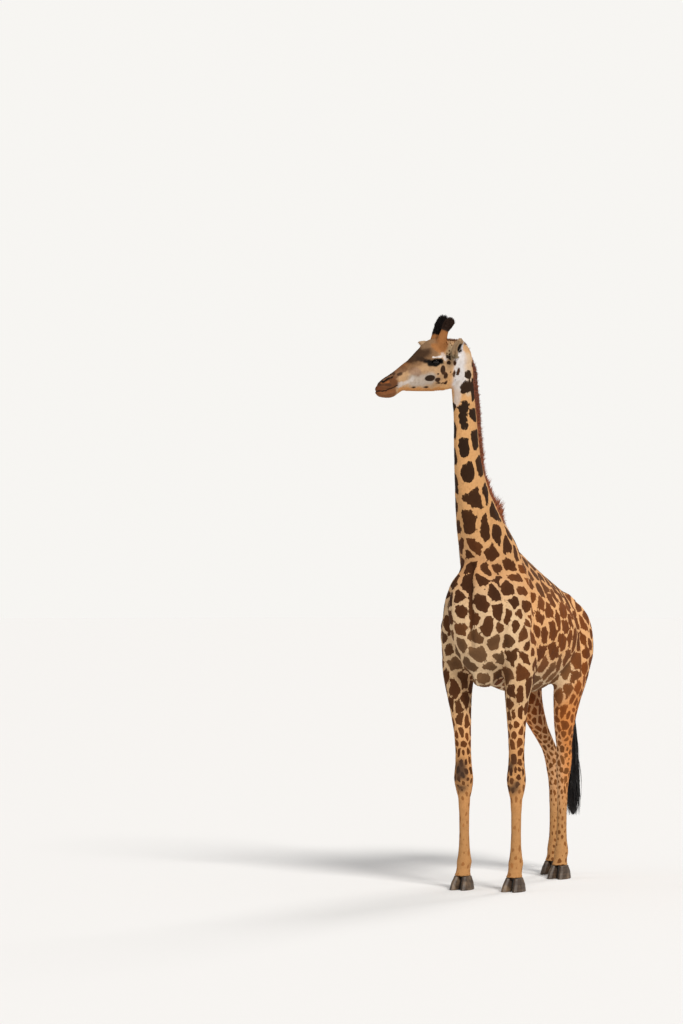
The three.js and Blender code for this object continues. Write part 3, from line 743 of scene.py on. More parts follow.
# Ground between neighbouring blotches: (metres, part of the body, limits)
GAPS = [
    (0.036, "neck"),
    (-0.010, "neck", (UP, 3.1, 2.5)),
    (0.025, "trunk"),
    (-0.006, "trunk", (BACK, 0.2, 0.6)),
    (0.015, "foreleg"),
    (0.016, "foreleg", (UP, 0.85, 0.6)),
    (0.014, "hindleg"),
    (0.010, "hindleg", (UP, 0.75, 0.45)),
    (0.2, "ear"),
    (0.2, "ossicone"),
    (0.02, "tail"),
]


def within(weights, body, part, *limits):
    """How much each point belongs to a part of the body, inside these limits."""
    if part == "knee":
        share = weights["foreleg"] * knee_shade(body)
    elif part == "legs":
        share = weights["foreleg"] + weights["hindleg"]
    else:
        share = np.ones(len(body)) if part == "all" else weights[part]
    for way, none, full in limits:
        share = share * smooth_step(none, full, np.abs(body[:, 0]) if way == ASIDE else body[:, way])
    return share


def table_layers(rows, weights, body):
    """The rows of a table of colours, each with how much of it shows at each point."""
    return [(linear(*colour), amount * within(weights, body, *place)) for colour, amount, *place in rows]


def blotch_colours(seeds):
    """One colour for each blotch, after where it lies."""
    count = len(seeds["body"])
    colour = layered(count, linear(112, 61, 24), *table_layers(BLOTCH_COLOURS, seeds["weights"], seeds["body"]))
    return colour * (1 + 0.36 * (rng.random(count) - 0.5))[:, None]


def ground_colours(weights, share, body, at_head):
    """Colour of the coat between the blotches."""
    near_head = smooth_step(60, 20, at_head[:, 1]) * smooth_step(3.25, 3.55, body[:, 2])
    horn = weights["ossicone"] * 1.6
    left, right = share["ossicone_left"], share["ossicone_right"]
    return layered(
        len(body), linear(222, 172, 120), *table_layers(GROUND_COLOURS, weights, body),
        *((colour, amount * near_head) for colour, amount in face_layers(at_head)),
        (linear(150, 100, 58), horn),
        (linear(46, 34, 28), horn * smooth_step(0.56, 0.64, left) * (at_head[:, 0] > 0)),
        (linear(26, 21, 20), horn * smooth_step(0.42, 0.52, right) * (at_head[:, 0] < 0)),
    )


# What the coat's material reads: blotches lie where mark is above 0, specks where speck is high, spread is how
# ragged the edges are, and root is the place on the skin. Those not named here are plain numbers.
KINDS = {"ground": ("FLOAT_COLOR", "color"), "blotch": ("FLOAT_COLOR", "color"),
         "root": ("FLOAT_VECTOR", "vector")}


def dress(piece, looks, repeats=1):
    """Stores the coat's looks on a piece. Each tuft has as many points as it repeats its root's values."""
    for name, values in looks.items():
        kind, key = KINDS.get(name, ("FLOAT", "value"))
        values = np.repeat(values, repeats, axis=0)
        if key == "color":
            values = np.concatenate([values, np.ones((len(values), 1))], 1)
        attribute = piece.data.attributes.new(name, kind, "POINT")
        attribute.data.foreach_set(key, values.astype(np.float32).ravel())


NECK_SPACING = 0.72  # least distance between blotches of the neck, as a share of their size


def neck_columns(points):
    """Blotches of the neck stand in columns, each row half a step below its neighbour."""
    tree = point_tree(points)
    chain = CHAINS["neck"]
    chosen = []
    # Each column stands at a turn about the neck, in degrees, and has its first blotch at this height.
    for turn, top in ((20, 3.40), (88, 3.60), (152, 3.76), (216, 3.72), (-44, 3.52)):
        angle = math.radians(turn)
        aim = np.array([math.sin(angle), -math.cos(angle), 0.25])
        height = top
        while height > 2.62:
            middle = np.array([np.interp(-height, -chain[:, 2], chain[:, k]) for k in range(3)])
            _, i, away = tree.find(middle + aim * np.array([0.09, 0.12, 0.1]) * (1 + 0.25 * (3.8 - height)))
            if away < 0.15:
                chosen.append(i)
            height -= (0.175 + 0.015 * (3.8 - height)) * rng.uniform(0.86, 1.14)
    return chosen


def make_seeds(points, normals):
    """The middles of all blotches, with what paint needs to know at each."""
    weights, _, lie = body_map(points, normals)
    size, longer = blotch_size(body_place(points), weights)
    chosen = spread_seeds(points, normals, size, lie, longer)
    on_neck = (weights["neck"][chosen] > 0.5) & (body_place(points)[chosen, 2] > 2.68)
    chosen = chosen[~on_neck].tolist()
    nape = int(np.argmin(np.linalg.norm(body_place(points) - [0.02, -0.41, 3.93], axis=1)))
    for i in [nape] + neck_columns(points):
        if np.linalg.norm(points[chosen] - points[i], axis=1).min() > NECK_SPACING * size[i]:
            chosen.append(i)
    chosen = np.array(chosen)
    seeds = {"spot": points[chosen], "normal": normals[chosen], "size": size[chosen], "lie": lie[chosen],
             "longer": longer[chosen], "body": body_place(points[chosen]),
             "weights": {part: weight[chosen] for part, weight in weights.items()}}
    seeds["colour"] = blotch_colours(seeds)
    return seeds


def paint(points, normals, seeds):
    """What the coat's material reads at points of the skin, the parts of the body there, and its hair's lie."""
    weights, share, lie = body_map(points, normals)
    body, at_head = body_place(points), head_place(points)
    size = blotch_size(body, weights)[0]
    wavy = warp(points, 0.10, 0.12 * size)
    wavy = warp(wavy, 0.045, 0.05 * size)
    first, second, owner = nearest_two(wavy, normals, seeds)
    gap = sum(metres * within(weights, body, *place) for metres, *place in GAPS)
    gap = gap + 0.2 * smooth_step(45, 5, at_head[:, 1]) * smooth_step(3.52, 3.60, body[:, 2])
    mark = (second - first) * size - gap
    on_head = smooth_step(0.35, 0.6, weights["head"])
    mark = np.maximum(mark * (1 - on_head) - 0.05 * on_head, face_mark(mirrored(at_head)))
    # A dark line of painted shade runs down the furrow of the chest.
    furrow_shade_distance = along_chain(points, on_surface(skin_tree, from_body([(0, -330, 2380), (0, -330, 1930)])))[0]
    mark = np.maximum(mark, (np.exp(-(furrow_shade_distance / 0.018) ** 2) - 0.45) * 0.06)
    looks = {
        "ground": ground_colours(weights, share, body, at_head),
        "blotch": seeds["colour"][owner],
        "mark": mark,
        "speck": ridge(mirrored(at_head), (78, -150, 4000), (95, -148, 3880), 46),
        "spread": size / 0.13 * (1 - 0.55 * np.clip(weights["head"] * 1.5, 0, 1)),
        "root": points,
    }
    return looks, weights, share, lie


def ear_hollow_shade(points, normals, tree):
    """Painted shade: 1 inside the cups of the ears, where the way out is barred by the opposite wall."""
    hollow_shade = np.zeros(len(points))
    for i in np.nonzero((ear_distance(points) < 0.08) & (np.abs(head_place(points)[:, 0]) > 90))[0]:
        hit = tree.ray_cast(Vector(points[i] + normals[i] * 0.002), Vector(normals[i]), 0.075)
        hollow_shade[i] = hit[0] is not None
    return hollow_shade


# ---------------------------------------------------------------- materials

def maths(operation, turned=False):
    """An operator that joins two values by one maths node, in their own or in turned order."""
    def join(a, b):
        first, second = (b, a) if turned else (a, b)
        return a.material.add("ShaderNodeMath", {"operation": operation}, {0: first, 1: second})
    return join


class Value:
    """A number that varies over a surface: arithmetic on it adds maths nodes."""

    def __init__(self, material, socket):
        self.material, self.socket = material, socket

    __add__, __radd__ = maths("ADD"), maths("ADD", True)
    __sub__, __rsub__ = maths("SUBTRACT"), maths("SUBTRACT", True)
    __mul__, __rmul__ = maths("MULTIPLY"), maths("MULTIPLY", True)
    __truediv__ = maths("DIVIDE")


class Finish:
    """A material for one kind of surface, with a Principled shader."""

    def __init__(self, name, **constants):
        self.material = bpy.data.materials.new(name)
        self.material.use_nodes = True
        self.tree = self.material.node_tree
        self.shader = self.tree.nodes["Principled BSDF"]
        for socket, value in constants.items():
            self.shader.inputs[socket.replace("_", " ")].default_value = value

    def add(self, kind, settings=None, inputs=None, output=0):
        """One node: its settings first, then its inputs, as values or as links."""
        node = self.tree.nodes.new(kind)
        for key, value in (settings or {}).items():
            setattr(node, key, value)
        for key, value in (inputs or {}).items():
            if isinstance(value, Value):
                self.tree.links.new(value.socket, node.inputs[key])
            else:
                node.inputs[key].default_value = value
        return Value(self, node.outputs[output])

    def attribute(self, name, output="Fac"):
        return self.add("ShaderNodeAttribute", {"attribute_name": name}, output=output)

    def noise(self, where, scale, detail=2.0, rough=0.5):
        return self.add("ShaderNodeTexNoise", {}, {"Vector": where, "Scale": scale, "Detail": detail,
                                                   "Roughness": rough}, "Fac")

    def step(self, value, low, high, to_low=0.0, to_high=1.0):
        return self.add("ShaderNodeMapRange", {"interpolation_type": "SMOOTHSTEP"}, {
            "Value": value, "From Min": low, "From Max": high, "To Min": to_low, "To Max": to_high})

    def mix(self, amount, a, b, blend="MIX"):
        """Two colours mixed. A fixed colour has three numbers."""
        a, b = (colour if isinstance(colour, Value) else (*colour, 1) for colour in (a, b))
        return self.add("ShaderNodeMix", {"data_type": "RGBA", "blend_type": blend}, {0: amount, 6: a, 7: b}, 2)

    def shaded(self, colour, tint):
        """A colour darkened by a tint."""
        return self.mix(1.0, colour, tint, "MULTIPLY")

    def stretched(self, where, scale):
        """Coordinates squeezed along each axis, for a grain that runs one way."""
        return self.add("ShaderNodeMapping", {}, {"Vector": where, "Scale": scale})

    def feed(self, socket, value):
        self.tree.links.new(value.socket, self.shader.inputs[socket])

    def bump(self, height, strength, distance):
        self.feed("Normal", self.add("ShaderNodeBump", {}, {"Height": height, "Strength": strength,
                                                            "Distance": distance}))


def coat_finish():
    """Short hair: blotches with ragged edges on a paler ground."""
    coat = Finish("giraffe_coat", Roughness=0.85, Specular_IOR_Level=0.12)
    root = coat.attribute("root", "Vector")
    ground = coat.attribute("ground", "Color")
    blotch = coat.attribute("blotch", "Color")
    mark = coat.attribute("mark")
    spread = coat.attribute("spread")
    ragged = ((coat.noise(root, 20.0, 2.0) - 0.5) * 0.09 + (coat.noise(root, 60.0, 1.0) - 0.5) * 0.014) * spread
    inside = coat.step(mark + ragged, -0.003, 0.003)
    speck = coat.add("ShaderNodeTexVoronoi", {}, {"Vector": root, "Scale": 44.0, "Randomness": 0.8})
    specks = coat.step(speck + (coat.noise(root, 90.0, 1.0) - 0.5) * 0.3, 0.34, 0.26)
    inside = inside + specks * coat.step(coat.attribute("speck"), 0.3, 0.5)
    cloud = coat.noise(root, 7.0, 3.0)
    grain = coat.noise(coat.stretched(root, (1.0, 1.0, 0.3)), 170.0, 2.0)
    ground = coat.mix((cloud - 0.5) * 0.5 + 0.15, ground, coat.shaded(ground, (0.78, 0.62, 0.48)))
    mottle = coat.step(coat.noise(root, 48.0, 3.0, 0.6), 0.46, 0.68, 0.0, 0.35)
    ground = coat.mix(mottle, ground, coat.shaded(ground, (0.68, 0.62, 0.58)))
    middle = coat.step(mark + (coat.noise(root, 30.0, 2.0) - 0.5) * 0.05, 0.0, 0.055)
    dark = coat.mix(middle * 0.4, blotch, coat.shaded(blotch, (0.6, 0.56, 0.54)))
    colour = coat.mix(inside, ground, dark)
    colour = coat.mix(coat.step(grain, 0.3, 0.75, 0.0, 0.30), colour, coat.shaded(colour, (0.62, 0.58, 0.55)))
    coat.feed("Base Color", colour)
    coat.bump(grain * 0.7 + coat.noise(root, 420.0, 1.0) * 0.3, 0.35, 0.004)
    return coat.material


def own(piece, material, slot, *replaced):
    """Gives a finished piece its material and fixes it to the one body. The slot argument is not used."""
    piece.data.materials.append(material)
    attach(piece, "root")
    if replaced:
        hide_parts(*replaced)


seeds = make_seeds(points_of(skin), normals_of(skin))
skin_points, skin_normals, skin_tree = points_of(skin), normals_of(skin), tree_of(skin)
skin_looks, skin_weights, skin_share, skin_lie = paint(skin_points, skin_normals, seeds)
# Painted shade darkens the ground inside the cups of the ears.
hollow_shade = ear_hollow_shade(skin_points, skin_normals, skin_tree)[:, None]
skin_looks["ground"] = skin_looks["ground"] * (1 - hollow_shade) + linear(58, 46, 38) * hollow_shade
dress(skin, skin_looks)
coat_material = coat_finish()
shade_smooth(skin)

# ---------------------------------------------------------------- tufts and locks

class Unwrap:
    """A flat layout of a shape, in which each tuft takes its own small patch."""

    def __init__(self, shape, faces=6000):
        copy = shape.copy()
        copy.data = shape.data.copy()
        copy.name = "layout"
        bpy.context.scene.collection.objects.link(copy)
        apply_modifier(copy, "DECIMATE", ratio=min(1.0, faces / len(copy.data.polygons)))
        edit(copy, lambda: bpy.ops.mesh.quads_convert_to_tris(),
             lambda: bpy.ops.uv.smart_project(angle_limit=1.15, island_margin=0.004))
        corners = read(copy.data.loops, "vertex_index")
        self.corners = points_of(copy)[corners].reshape(-1, 3, 3)
        self.uv = read(copy.data.uv_layers.active.data, "uv", 2, np.float32).reshape(-1, 3, 2).astype(float)
        self.tree = tree_of(copy)
        bpy.data.objects.remove(copy)

    def patch(self, points):
        """Where the middle of each point's patch lies in the layout."""
        hits = [self.tree.find_nearest(point) for point in points]
        face = np.array([hit[2] for hit in hits])
        at = np.array([hit[0] for hit in hits])
        a, b, c = (self.corners[face][:, k] for k in range(3))
        normal = np.cross(b - a, c - a)
        area = np.maximum((normal * normal).sum(1), 1e-20)
        share_b = (np.cross(at - a, c - a) * normal).sum(1) / area
        share_c = (np.cross(b - a, at - a) * normal).sum(1) / area
        share = np.stack([1 - share_b - share_c, share_b, share_c], 1)
        return (self.uv[face] * share[:, :, None]).sum(1)


PATCH = 0.0028  # side of each tuft's patch in the layout


def unit(vectors):
    return vectors / np.maximum(np.linalg.norm(vectors, axis=-1, keepdims=True), 1e-9)


def grow(label, roots, across, start, end, length, width, rings, layout, thick=0.5):
    """One mesh of many closed, three-sided tufts that taper and bend from one direction to another."""
    count, per = len(roots), 3 * rings + 1
    spots = np.empty((count, per, 3))
    for ring in range(rings + 1):
        t = ring / rings
        middle = roots + length[:, None] * (start * t + (end - start) * t * t / 2)
        if ring == rings:
            spots[:, -1] = middle
            break
        ahead = unit(start + (end - start) * t)
        half = width[:, None] / 2 * (1 - t) ** 0.7
        up = unit(np.cross(across, ahead))
        spots[:, 3 * ring] = middle - across * half
        spots[:, 3 * ring + 1] = middle + across * half
        spots[:, 3 * ring + 2] = middle + up * half * 2 * thick
    faces = [(0, 1, 2)]
    for ring in range(rings - 1):
        a, b, c = 3 * ring, 3 * ring + 1, 3 * ring + 2
        for one, two in ((b, a), (c, b), (a, c)):
            faces += [(one, two, two + 3), (one, two + 3, one + 3)]
    a, tip = 3 * (rings - 1), per - 1
    faces += [(a + 1, a, tip), (a + 2, a + 1, tip), (a, a + 2, tip)]
    faces = np.array(faces)
    corners = (faces.ravel()[None] + (np.arange(count) * per)[:, None]).ravel()
    mesh = bpy.data.meshes.new(label)
    mesh.vertices.add(count * per)
    mesh.vertices.foreach_set("co", spots.astype(np.float32).ravel())
    mesh.loops.add(len(corners))
    mesh.loops.foreach_set("vertex_index", corners.astype(np.int32))
    total = count * len(faces)
    mesh.polygons.add(total)
    mesh.polygons.foreach_set("loop_start", np.arange(0, total * 3, 3, dtype=np.int32))
    mesh.polygons.foreach_set("use_smooth", np.full(total, rings > 1))
    mesh.update(calc_edges=True)
    ring_of = np.minimum(np.arange(per) // 3, rings) / rings
    side_of = np.append(np.tile([-1.0, 1.0, 0.0], rings), 0)
    offset = PATCH * np.stack([side_of / 2, ring_of - 0.5], 1)[faces.ravel()]
    uv = layout.patch(roots)[:, None] + offset[None]
    mesh.uv_layers.new(name="OFBake").data.foreach_set("uv", uv.astype(np.float32).ravel())
    piece = bpy.data.objects.new(label, mesh)
    bpy.context.scene.collection.objects.link(piece)
    return piece, per


class Roots:
    """Random places on the skin, with what the skin knows at each."""

    def __init__(self, count, density):
        skin.data.calc_loop_triangles()
        corners = read(skin.data.loop_triangles, "vertices", 3)
        a, b, c = (skin_points[corners[:, k]] for k in range(3))
        area = np.linalg.norm(np.cross(b - a, c - a), axis=1) * density[corners].mean(1)
        face = rng.choice(len(area), count, p=area / area.sum())
        u, v = rng.random((2, count))
        over = u + v > 1
        u[over], v[over] = 1 - u[over], 1 - v[over]
        self.vertices = corners[face]
        self.parts = np.stack([1 - u - v, u, v], 1)
        self.at = self.take(skin_points)
        self.out = unit(self.take(skin_normals))
        lie = self.take(skin_lie)
        self.lie = unit(lie - self.out * (lie * self.out).sum(1)[:, None])

    def take(self, values):
        """The skin's values at these places."""
        parts = self.parts if values.ndim == 1 else self.parts[..., None]
        return (values[self.vertices] * parts).sum(1)

    def looks(self):
        looks = {name: self.take(values) for name, values in skin_looks.items() if name != "blotch"}
        looks["blotch"] = skin_looks["blotch"][self.vertices[:, 0]]
        looks["root"] = self.at
        return looks


def plain_looks(roots, colours):
    """Looks of hair in colours of its own, without markings."""
    count = len(roots)
    return {"ground": colours, "blotch": colours, "mark": np.full(count, -0.3), "speck": np.zeros(count),
            "spread": np.ones(count), "root": roots}


def varied(colour, count, amount=0.25):
    return linear(*colour)[None] * (1 + amount * (rng.random((count, 1)) * 2 - 1))


def spread_out(count, amount):
    return rng.normal(size=(count, 3)) * amount


def hairy(points):
    """1 where short hair grows, 0 about the eyes and on the end of the muzzle."""
    side = mirrored(head_place(points))
    bare = np.linalg.norm((side - [98, -276, 3848]) / [60, 62, 40], axis=1) < 1
    bare |= side[:, 1] < -575
    return 1.0 - bare


def grow_coat():
    """Short hair over the whole body, in tufts that lie along it."""
    layout = Unwrap(skin)
    body = body_place(skin_points)
    part = {name: np.clip(skin_weights[name], 0, 1) for name in skin_weights}
    small = np.clip(part["head"] + part["ear"] + part["ossicone"], 0, 1)
    leg = np.clip(part["foreleg"] + part["hindleg"], 0, 1) * smooth_step(1.5, 1.1, body[:, 2])
    long = 0.013 + 0.006 * part["trunk"] * smooth_step(1.75, 1.5, body[:, 2]) - 0.004 * leg
    long = long * (1 - small) + 0.006 * small
    grows = hairy(skin_points)
    regions = {
        "coat_of_head_and_neck": (44000, (body[:, 2] > 2.3) * (1 + 2.5 * small) * (part["ear"] < 0.3)),
        "coat_of_trunk": (48000, (body[:, 2] <= 2.3) * (body[:, 2] > 1.42)),
        "coat_of_legs": (46000, (body[:, 2] <= 1.42) * 1.0),
    }
    for name, (count, density) in regions.items():
        roots = Roots(count, density * grows)
        length = roots.take(long) * rng.uniform(0.7, 1.3, count)
        lift = rng.uniform(0.02, 0.20, (count, 1))
        aim = unit(roots.lie + spread_out(count, 0.10))
        aim = unit(aim - roots.out * (aim * roots.out).sum(1)[:, None])
        start = unit(aim + roots.out * (lift + 0.12))
        end = unit(aim + roots.out * (lift - 0.10))
        piece, per = grow(name, roots.at - roots.out * 0.0008, unit(np.cross(roots.out, aim)), start, end,
                          length, length * 0.24, 1, layout, thick=0.16)
        dress(piece, roots.looks(), per)
        own(piece, coat_material, "coat")
    return layout


def horn_hair(side, share_from, colour, long, count=2200):
    """Dark hair on the top of an ossicone."""
    chain, share = CHAINS[f"ossicone_{side}"], skin_share[f"ossicone_{side}"]
    near = along_chain(skin_points, chain)[0] < 0.06
    top = smooth_step(share_from, share_from + 0.08, share)
    roots = Roots(count, near * skin_weights["ossicone"] * top)
    up = unit(chain[-1] - chain[-2])
    start = unit(roots.out * 0.45 + up * 0.9 + spread_out(count, 0.10))
    end = unit(roots.out * 0.25 + up * 0.9 + np.array([0.1, 0.20, 0]) + spread_out(count, 0.24))
    return roots.at, start, end, long * rng.uniform(0.4, 1.25, count), varied(colour, count)


def ear_fringe(side, count=1400):
    """Short hair along the rim of an ear: the part of each band of it that is farthest from its middle."""
    chain = CHAINS[f"ear_{side}"]
    distance, share, _ = along_chain(skin_points, chain)
    on_ear = (distance < 0.09) & (np.abs(head_place(skin_points)[:, 0]) > 100)
    rim = np.zeros(len(distance))
    for low in np.arange(0.15, 1.0, 0.05):
        band = np.nonzero(on_ear & (share >= low) & (share < low + 0.05))[0]
        if len(band):
            rim[band] = distance[band] > np.quantile(distance[band], 0.84)
    roots = Roots(count, rim)
    tone = roots.take(skin_looks["ground"]) * (1.15 + 0.12 * (rng.random((count, 1)) * 2 - 1))
    along = chain[-1] - chain[0]
    away = unit(roots.at - chain[0] - along * along_chain(roots.at, chain)[1][:, None])
    start = unit(away + unit(along) * 0.7 + spread_out(count, 0.15))
    end = unit(away * 0.5 + unit(along) + spread_out(count, 0.25))
    return roots.at, start, end, rng.uniform(0.005, 0.012, count), tone


def crest_hair(count=900):
    """The crest between the ossicones."""
    crest = blob(mirrored(head_place(skin_points)), (0, -70, 4010), (46, 110, 60))
    roots = Roots(count, crest * (skin_normals[:, 2] > 0.3))
    start = unit(roots.out + spread_out(count, 0.2))
    end = unit(roots.out + np.array([0.1, 0.9, 0.2]) + spread_out(count, 0.2))
    return roots.at, start, end, rng.uniform(0.010, 0.020, count), varied((120, 78, 46), count, 0.35)


def lashes():
    """Long lashes that droop from the upper lids."""
    spots = []
    for side in (-1, 1):
        for angle in np.linspace(-0.15, math.pi + 0.15, 70):
            run, rise = LID_RUN * math.cos(angle), UPPER_LID * math.sin(angle)
            out = EYE[0] + math.sqrt(max(36.0 ** 2 - run * run - rise * rise, 0))
            spots.append([(side * (out - 2), EYE[1] + run, EYE[2] + rise + EYE_SLANT * run),
                          (side * (out + 20), EYE[1] + run * 1.5, EYE[2] + rise * 0.8 + 6),
                          (side * (out + 26), EYE[1] + run * 1.7, EYE[2] + rise * 0.2 - 14)])
    at, far, low = (from_head(np.array(spots)[:, k]) for k in range(3))
    return at, unit(far - at), unit(low - at), np.full(len(at), 0.024), varied((16, 13, 12), len(at))


def grow_hair_of_head(layout):
    batches = [horn_hair("left", 0.60, (54, 38, 30), 0.016), horn_hair("right", 0.42, (24, 19, 18), 0.026),
               ear_fringe("left"), ear_fringe("right"), crest_hair(), lashes()]
    at, start, end, long, tone = (np.concatenate(kind) for kind in zip(*batches))
    aslant = unit(end + [0.013, 0.021, 0.017])  # never quite parallel to the start
    across = unit(np.cross(start, aslant))
    # The lashes, which come last, have a width of their own.
    width = np.where(np.arange(len(at)) < len(at) - len(batches[-1][0]), long * 0.14, 0.0022)
    piece, per = grow("hair_of_head", at, across, start, end, long, width, 2, layout)
    dress(piece, plain_looks(at, tone), per)
    own(piece, coat_material, "coat")


def hair_finish(name, tint, roughness):
    """Long hair: each lock has its own shade and a fine grain."""
    hair = Finish(name, Roughness=roughness, Specular_IOR_Level=0.4)
    root = hair.attribute("root", "Vector")
    grain = hair.noise(hair.add("ShaderNodeTexCoord", output="Object"), 260.0, 2.0)
    shade = hair.noise(root, 40.0, 2.0)
    colour = hair.mix(hair.step(shade, 0.3, 0.7), hair.attribute("ground", "Color"), tint)
    colour = hair.mix(hair.step(grain, 0.35, 0.7, 0.0, 0.4), colour, hair.shaded(colour, (0.5, 0.5, 0.5)))
    hair.feed("Base Color", colour)
    hair.bump(grain, 0.3, 0.002)
    return hair.material


def core_of(name, label, shrink, voxel):
    """The dense middle of a long-haired part, inside its outline."""
    core = copy_of([name], label)
    fatten(core, -shrink)
    apply_modifier(core, "REMESH", mode="VOXEL", voxel_size=voxel)
    core = keep_largest(core)
    relax(core, 12)
    shade_smooth(core)
    return core


def upright(way):
    """Away from the neck in its middle plane, where it runs this way."""
    return unit(np.array([0, 1.0, 0]) - way * way[:, 1:2])


FAR_OUT = 0.3  # well outside the mane


def grow_mane():
    """A stiff upright mane: a dense core with many ragged locks that reach its outline."""
    material = hair_finish("mane_hair", linear(134, 66, 38), 0.6)
    outline = copy_of(["mane"], "mane_outline")
    tree = tree_of(outline)
    core = core_of("mane", "mane_core", 0.007, 0.004)
    spots = points_of(core)
    # Long locks grow from the skin below the mane and end at its outline.
    distance = np.array([tree.find_nearest(point)[3] for point in skin_points])
    roots = Roots(9000, (distance < 0.03) * 1.0)
    way = along_chain(roots.at, CHAINS["neck"])[2]
    out = upright(way)
    reach = np.zeros(len(roots.at))
    for i, (at, aim) in enumerate(zip(roots.at, out)):
        hit = tree.ray_cast(at + aim * FAR_OUT, -aim)
        if hit[0] is not None:
            reach[i] = FAR_OUT - hit[3]
    chosen = reach > 0.018
    # Short locks cover the ridge of the core.
    core_out = normals_of(core)
    core_way = along_chain(spots, CHAINS["neck"])[2]
    core_spine = upright(core_way)
    ridge_spots = np.nonzero((core_out * core_spine).sum(1) > 0.25)[0]
    ridge_spots = rng.choice(ridge_spots, min(2600, len(ridge_spots)), replace=False)
    at = np.concatenate([(roots.at - out * 0.004)[chosen], (spots - core_spine * 0.006)[ridge_spots]])
    out = np.concatenate([out[chosen], unit(core_spine + 0.35 * core_out)[ridge_spots]])
    way = np.concatenate([way[chosen], core_way[ridge_spots]])
    reach = np.concatenate([reach[chosen], rng.uniform(0.016, 0.030, len(ridge_spots))])
    count = len(reach)
    # The locks flare in two clumps near the shoulders, where they stand most unevenly.
    height = body_place(at)[:, 2]
    wild = smooth_step(2.75, 2.5, height)
    lean = -way * 0.12 + np.array([0, 0, 0.08])
    start = unit(out + spread_out(count, 0.10))
    end = unit(out + lean + spread_out(count, 0.20) * (1 + 1.2 * wild[:, None]))
    flare = np.exp(-((height - 2.74) / 0.06) ** 2) + 0.8 * np.exp(-((height - 2.58) / 0.05) ** 2)
    length = reach * rng.uniform(0.86, 1.15, count) * (1 + 0.28 * smooth_step(3.5, 3.1, height) + 0.6 * flare)
    dark = smooth_step(3.1, 3.8, height)[:, None]
    tone = varied((176, 100, 58), count, 0.35) * (1 - dark) + varied((112, 66, 42), count, 0.3) * dark
    layout = Unwrap(core, 2000)
    locks, per = grow("mane_locks", at, unit(np.cross(out, way) + spread_out(count, 0.5)),
                      start, end, length, rng.uniform(0.006, 0.011, count), 3, layout, thick=0.3)
    dress(locks, plain_looks(at, tone), per)
    core_height = smooth_step(3.1, 3.8, body_place(spots)[:, 2])[:, None]
    core_tone = linear(150, 78, 44) * (1 - core_height) + linear(86, 52, 34) * core_height
    dress(core, plain_looks(spots, core_tone))
    bpy.data.objects.remove(outline)
    own(core, material, "mane_hair", "mane")
    own(locks, material, "mane_hair")


def grow_tail():
    """Long black hair that hangs from the end of the tail."""
    material = hair_finish("tail_hair", linear(10, 8, 8), 0.38)
    low, high = (np.array(corner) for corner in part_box("tail_tuft"))
    core = core_of("tail_tuft", "tail_core", 0.013, 0.0045)
    layout = Unwrap(core, 1500)
    spots = points_of(core)
    count = 1500
    drop = rng.random(count) ** 1.3
    height = high[2] + 0.045 - drop * ((high[2] - low[2]) * 0.62 + 0.045)
    angle = rng.random(count) * 2 * math.pi
    upper = spots[spots[:, 2] > high[2] - 0.10].mean(0)
    lower = spots[spots[:, 2] < low[2] + 0.25].mean(0)
    mix = np.clip((high[2] - height) / (high[2] - low[2]), 0, 1)[:, None]
    axis = upper[None, :2] * (1 - mix) + lower[None, :2] * mix
    out = np.stack([np.cos(angle), np.sin(angle), np.zeros(count)], 1)
    radius = rng.uniform(0.006, 0.026, count) * (1.0 + 0.5 * drop)
    radius *= smooth_step(high[2] + 0.09, high[2] - 0.03, height)
    at = np.concatenate([axis, height[:, None]], 1) + out * radius[:, None]
    down = np.array([0, 0, -1.0])
    flare = rng.uniform(0.10, 0.30, (count, 1)) * (0.6 + 0.7 * drop[:, None])
    start = unit(down + out * flare + spread_out(count, 0.03))
    end = unit(down - out * 0.16 + spread_out(count, 0.07))
    length = np.minimum(rng.uniform(0.22, 0.42, count), height - low[2] + 0.004)
    across = unit(np.cross(down, out) + spread_out(count, 0.4) * [1, 1, 0])
    locks, per = grow("tail_locks", at, across, start, end, length, rng.uniform(0.005, 0.010, count), 5, layout,
                      thick=0.3)
    dress(locks, plain_looks(at, varied((24, 20, 20), count, 0.4)), per)
    dress(core, plain_looks(spots, np.tile(linear(16, 13, 13), (len(spots), 1))))
    own(core, material, "tail_hair", "tail_tuft")
    own(locks, material, "tail_hair")


HOOF_VOXEL = 0.0035


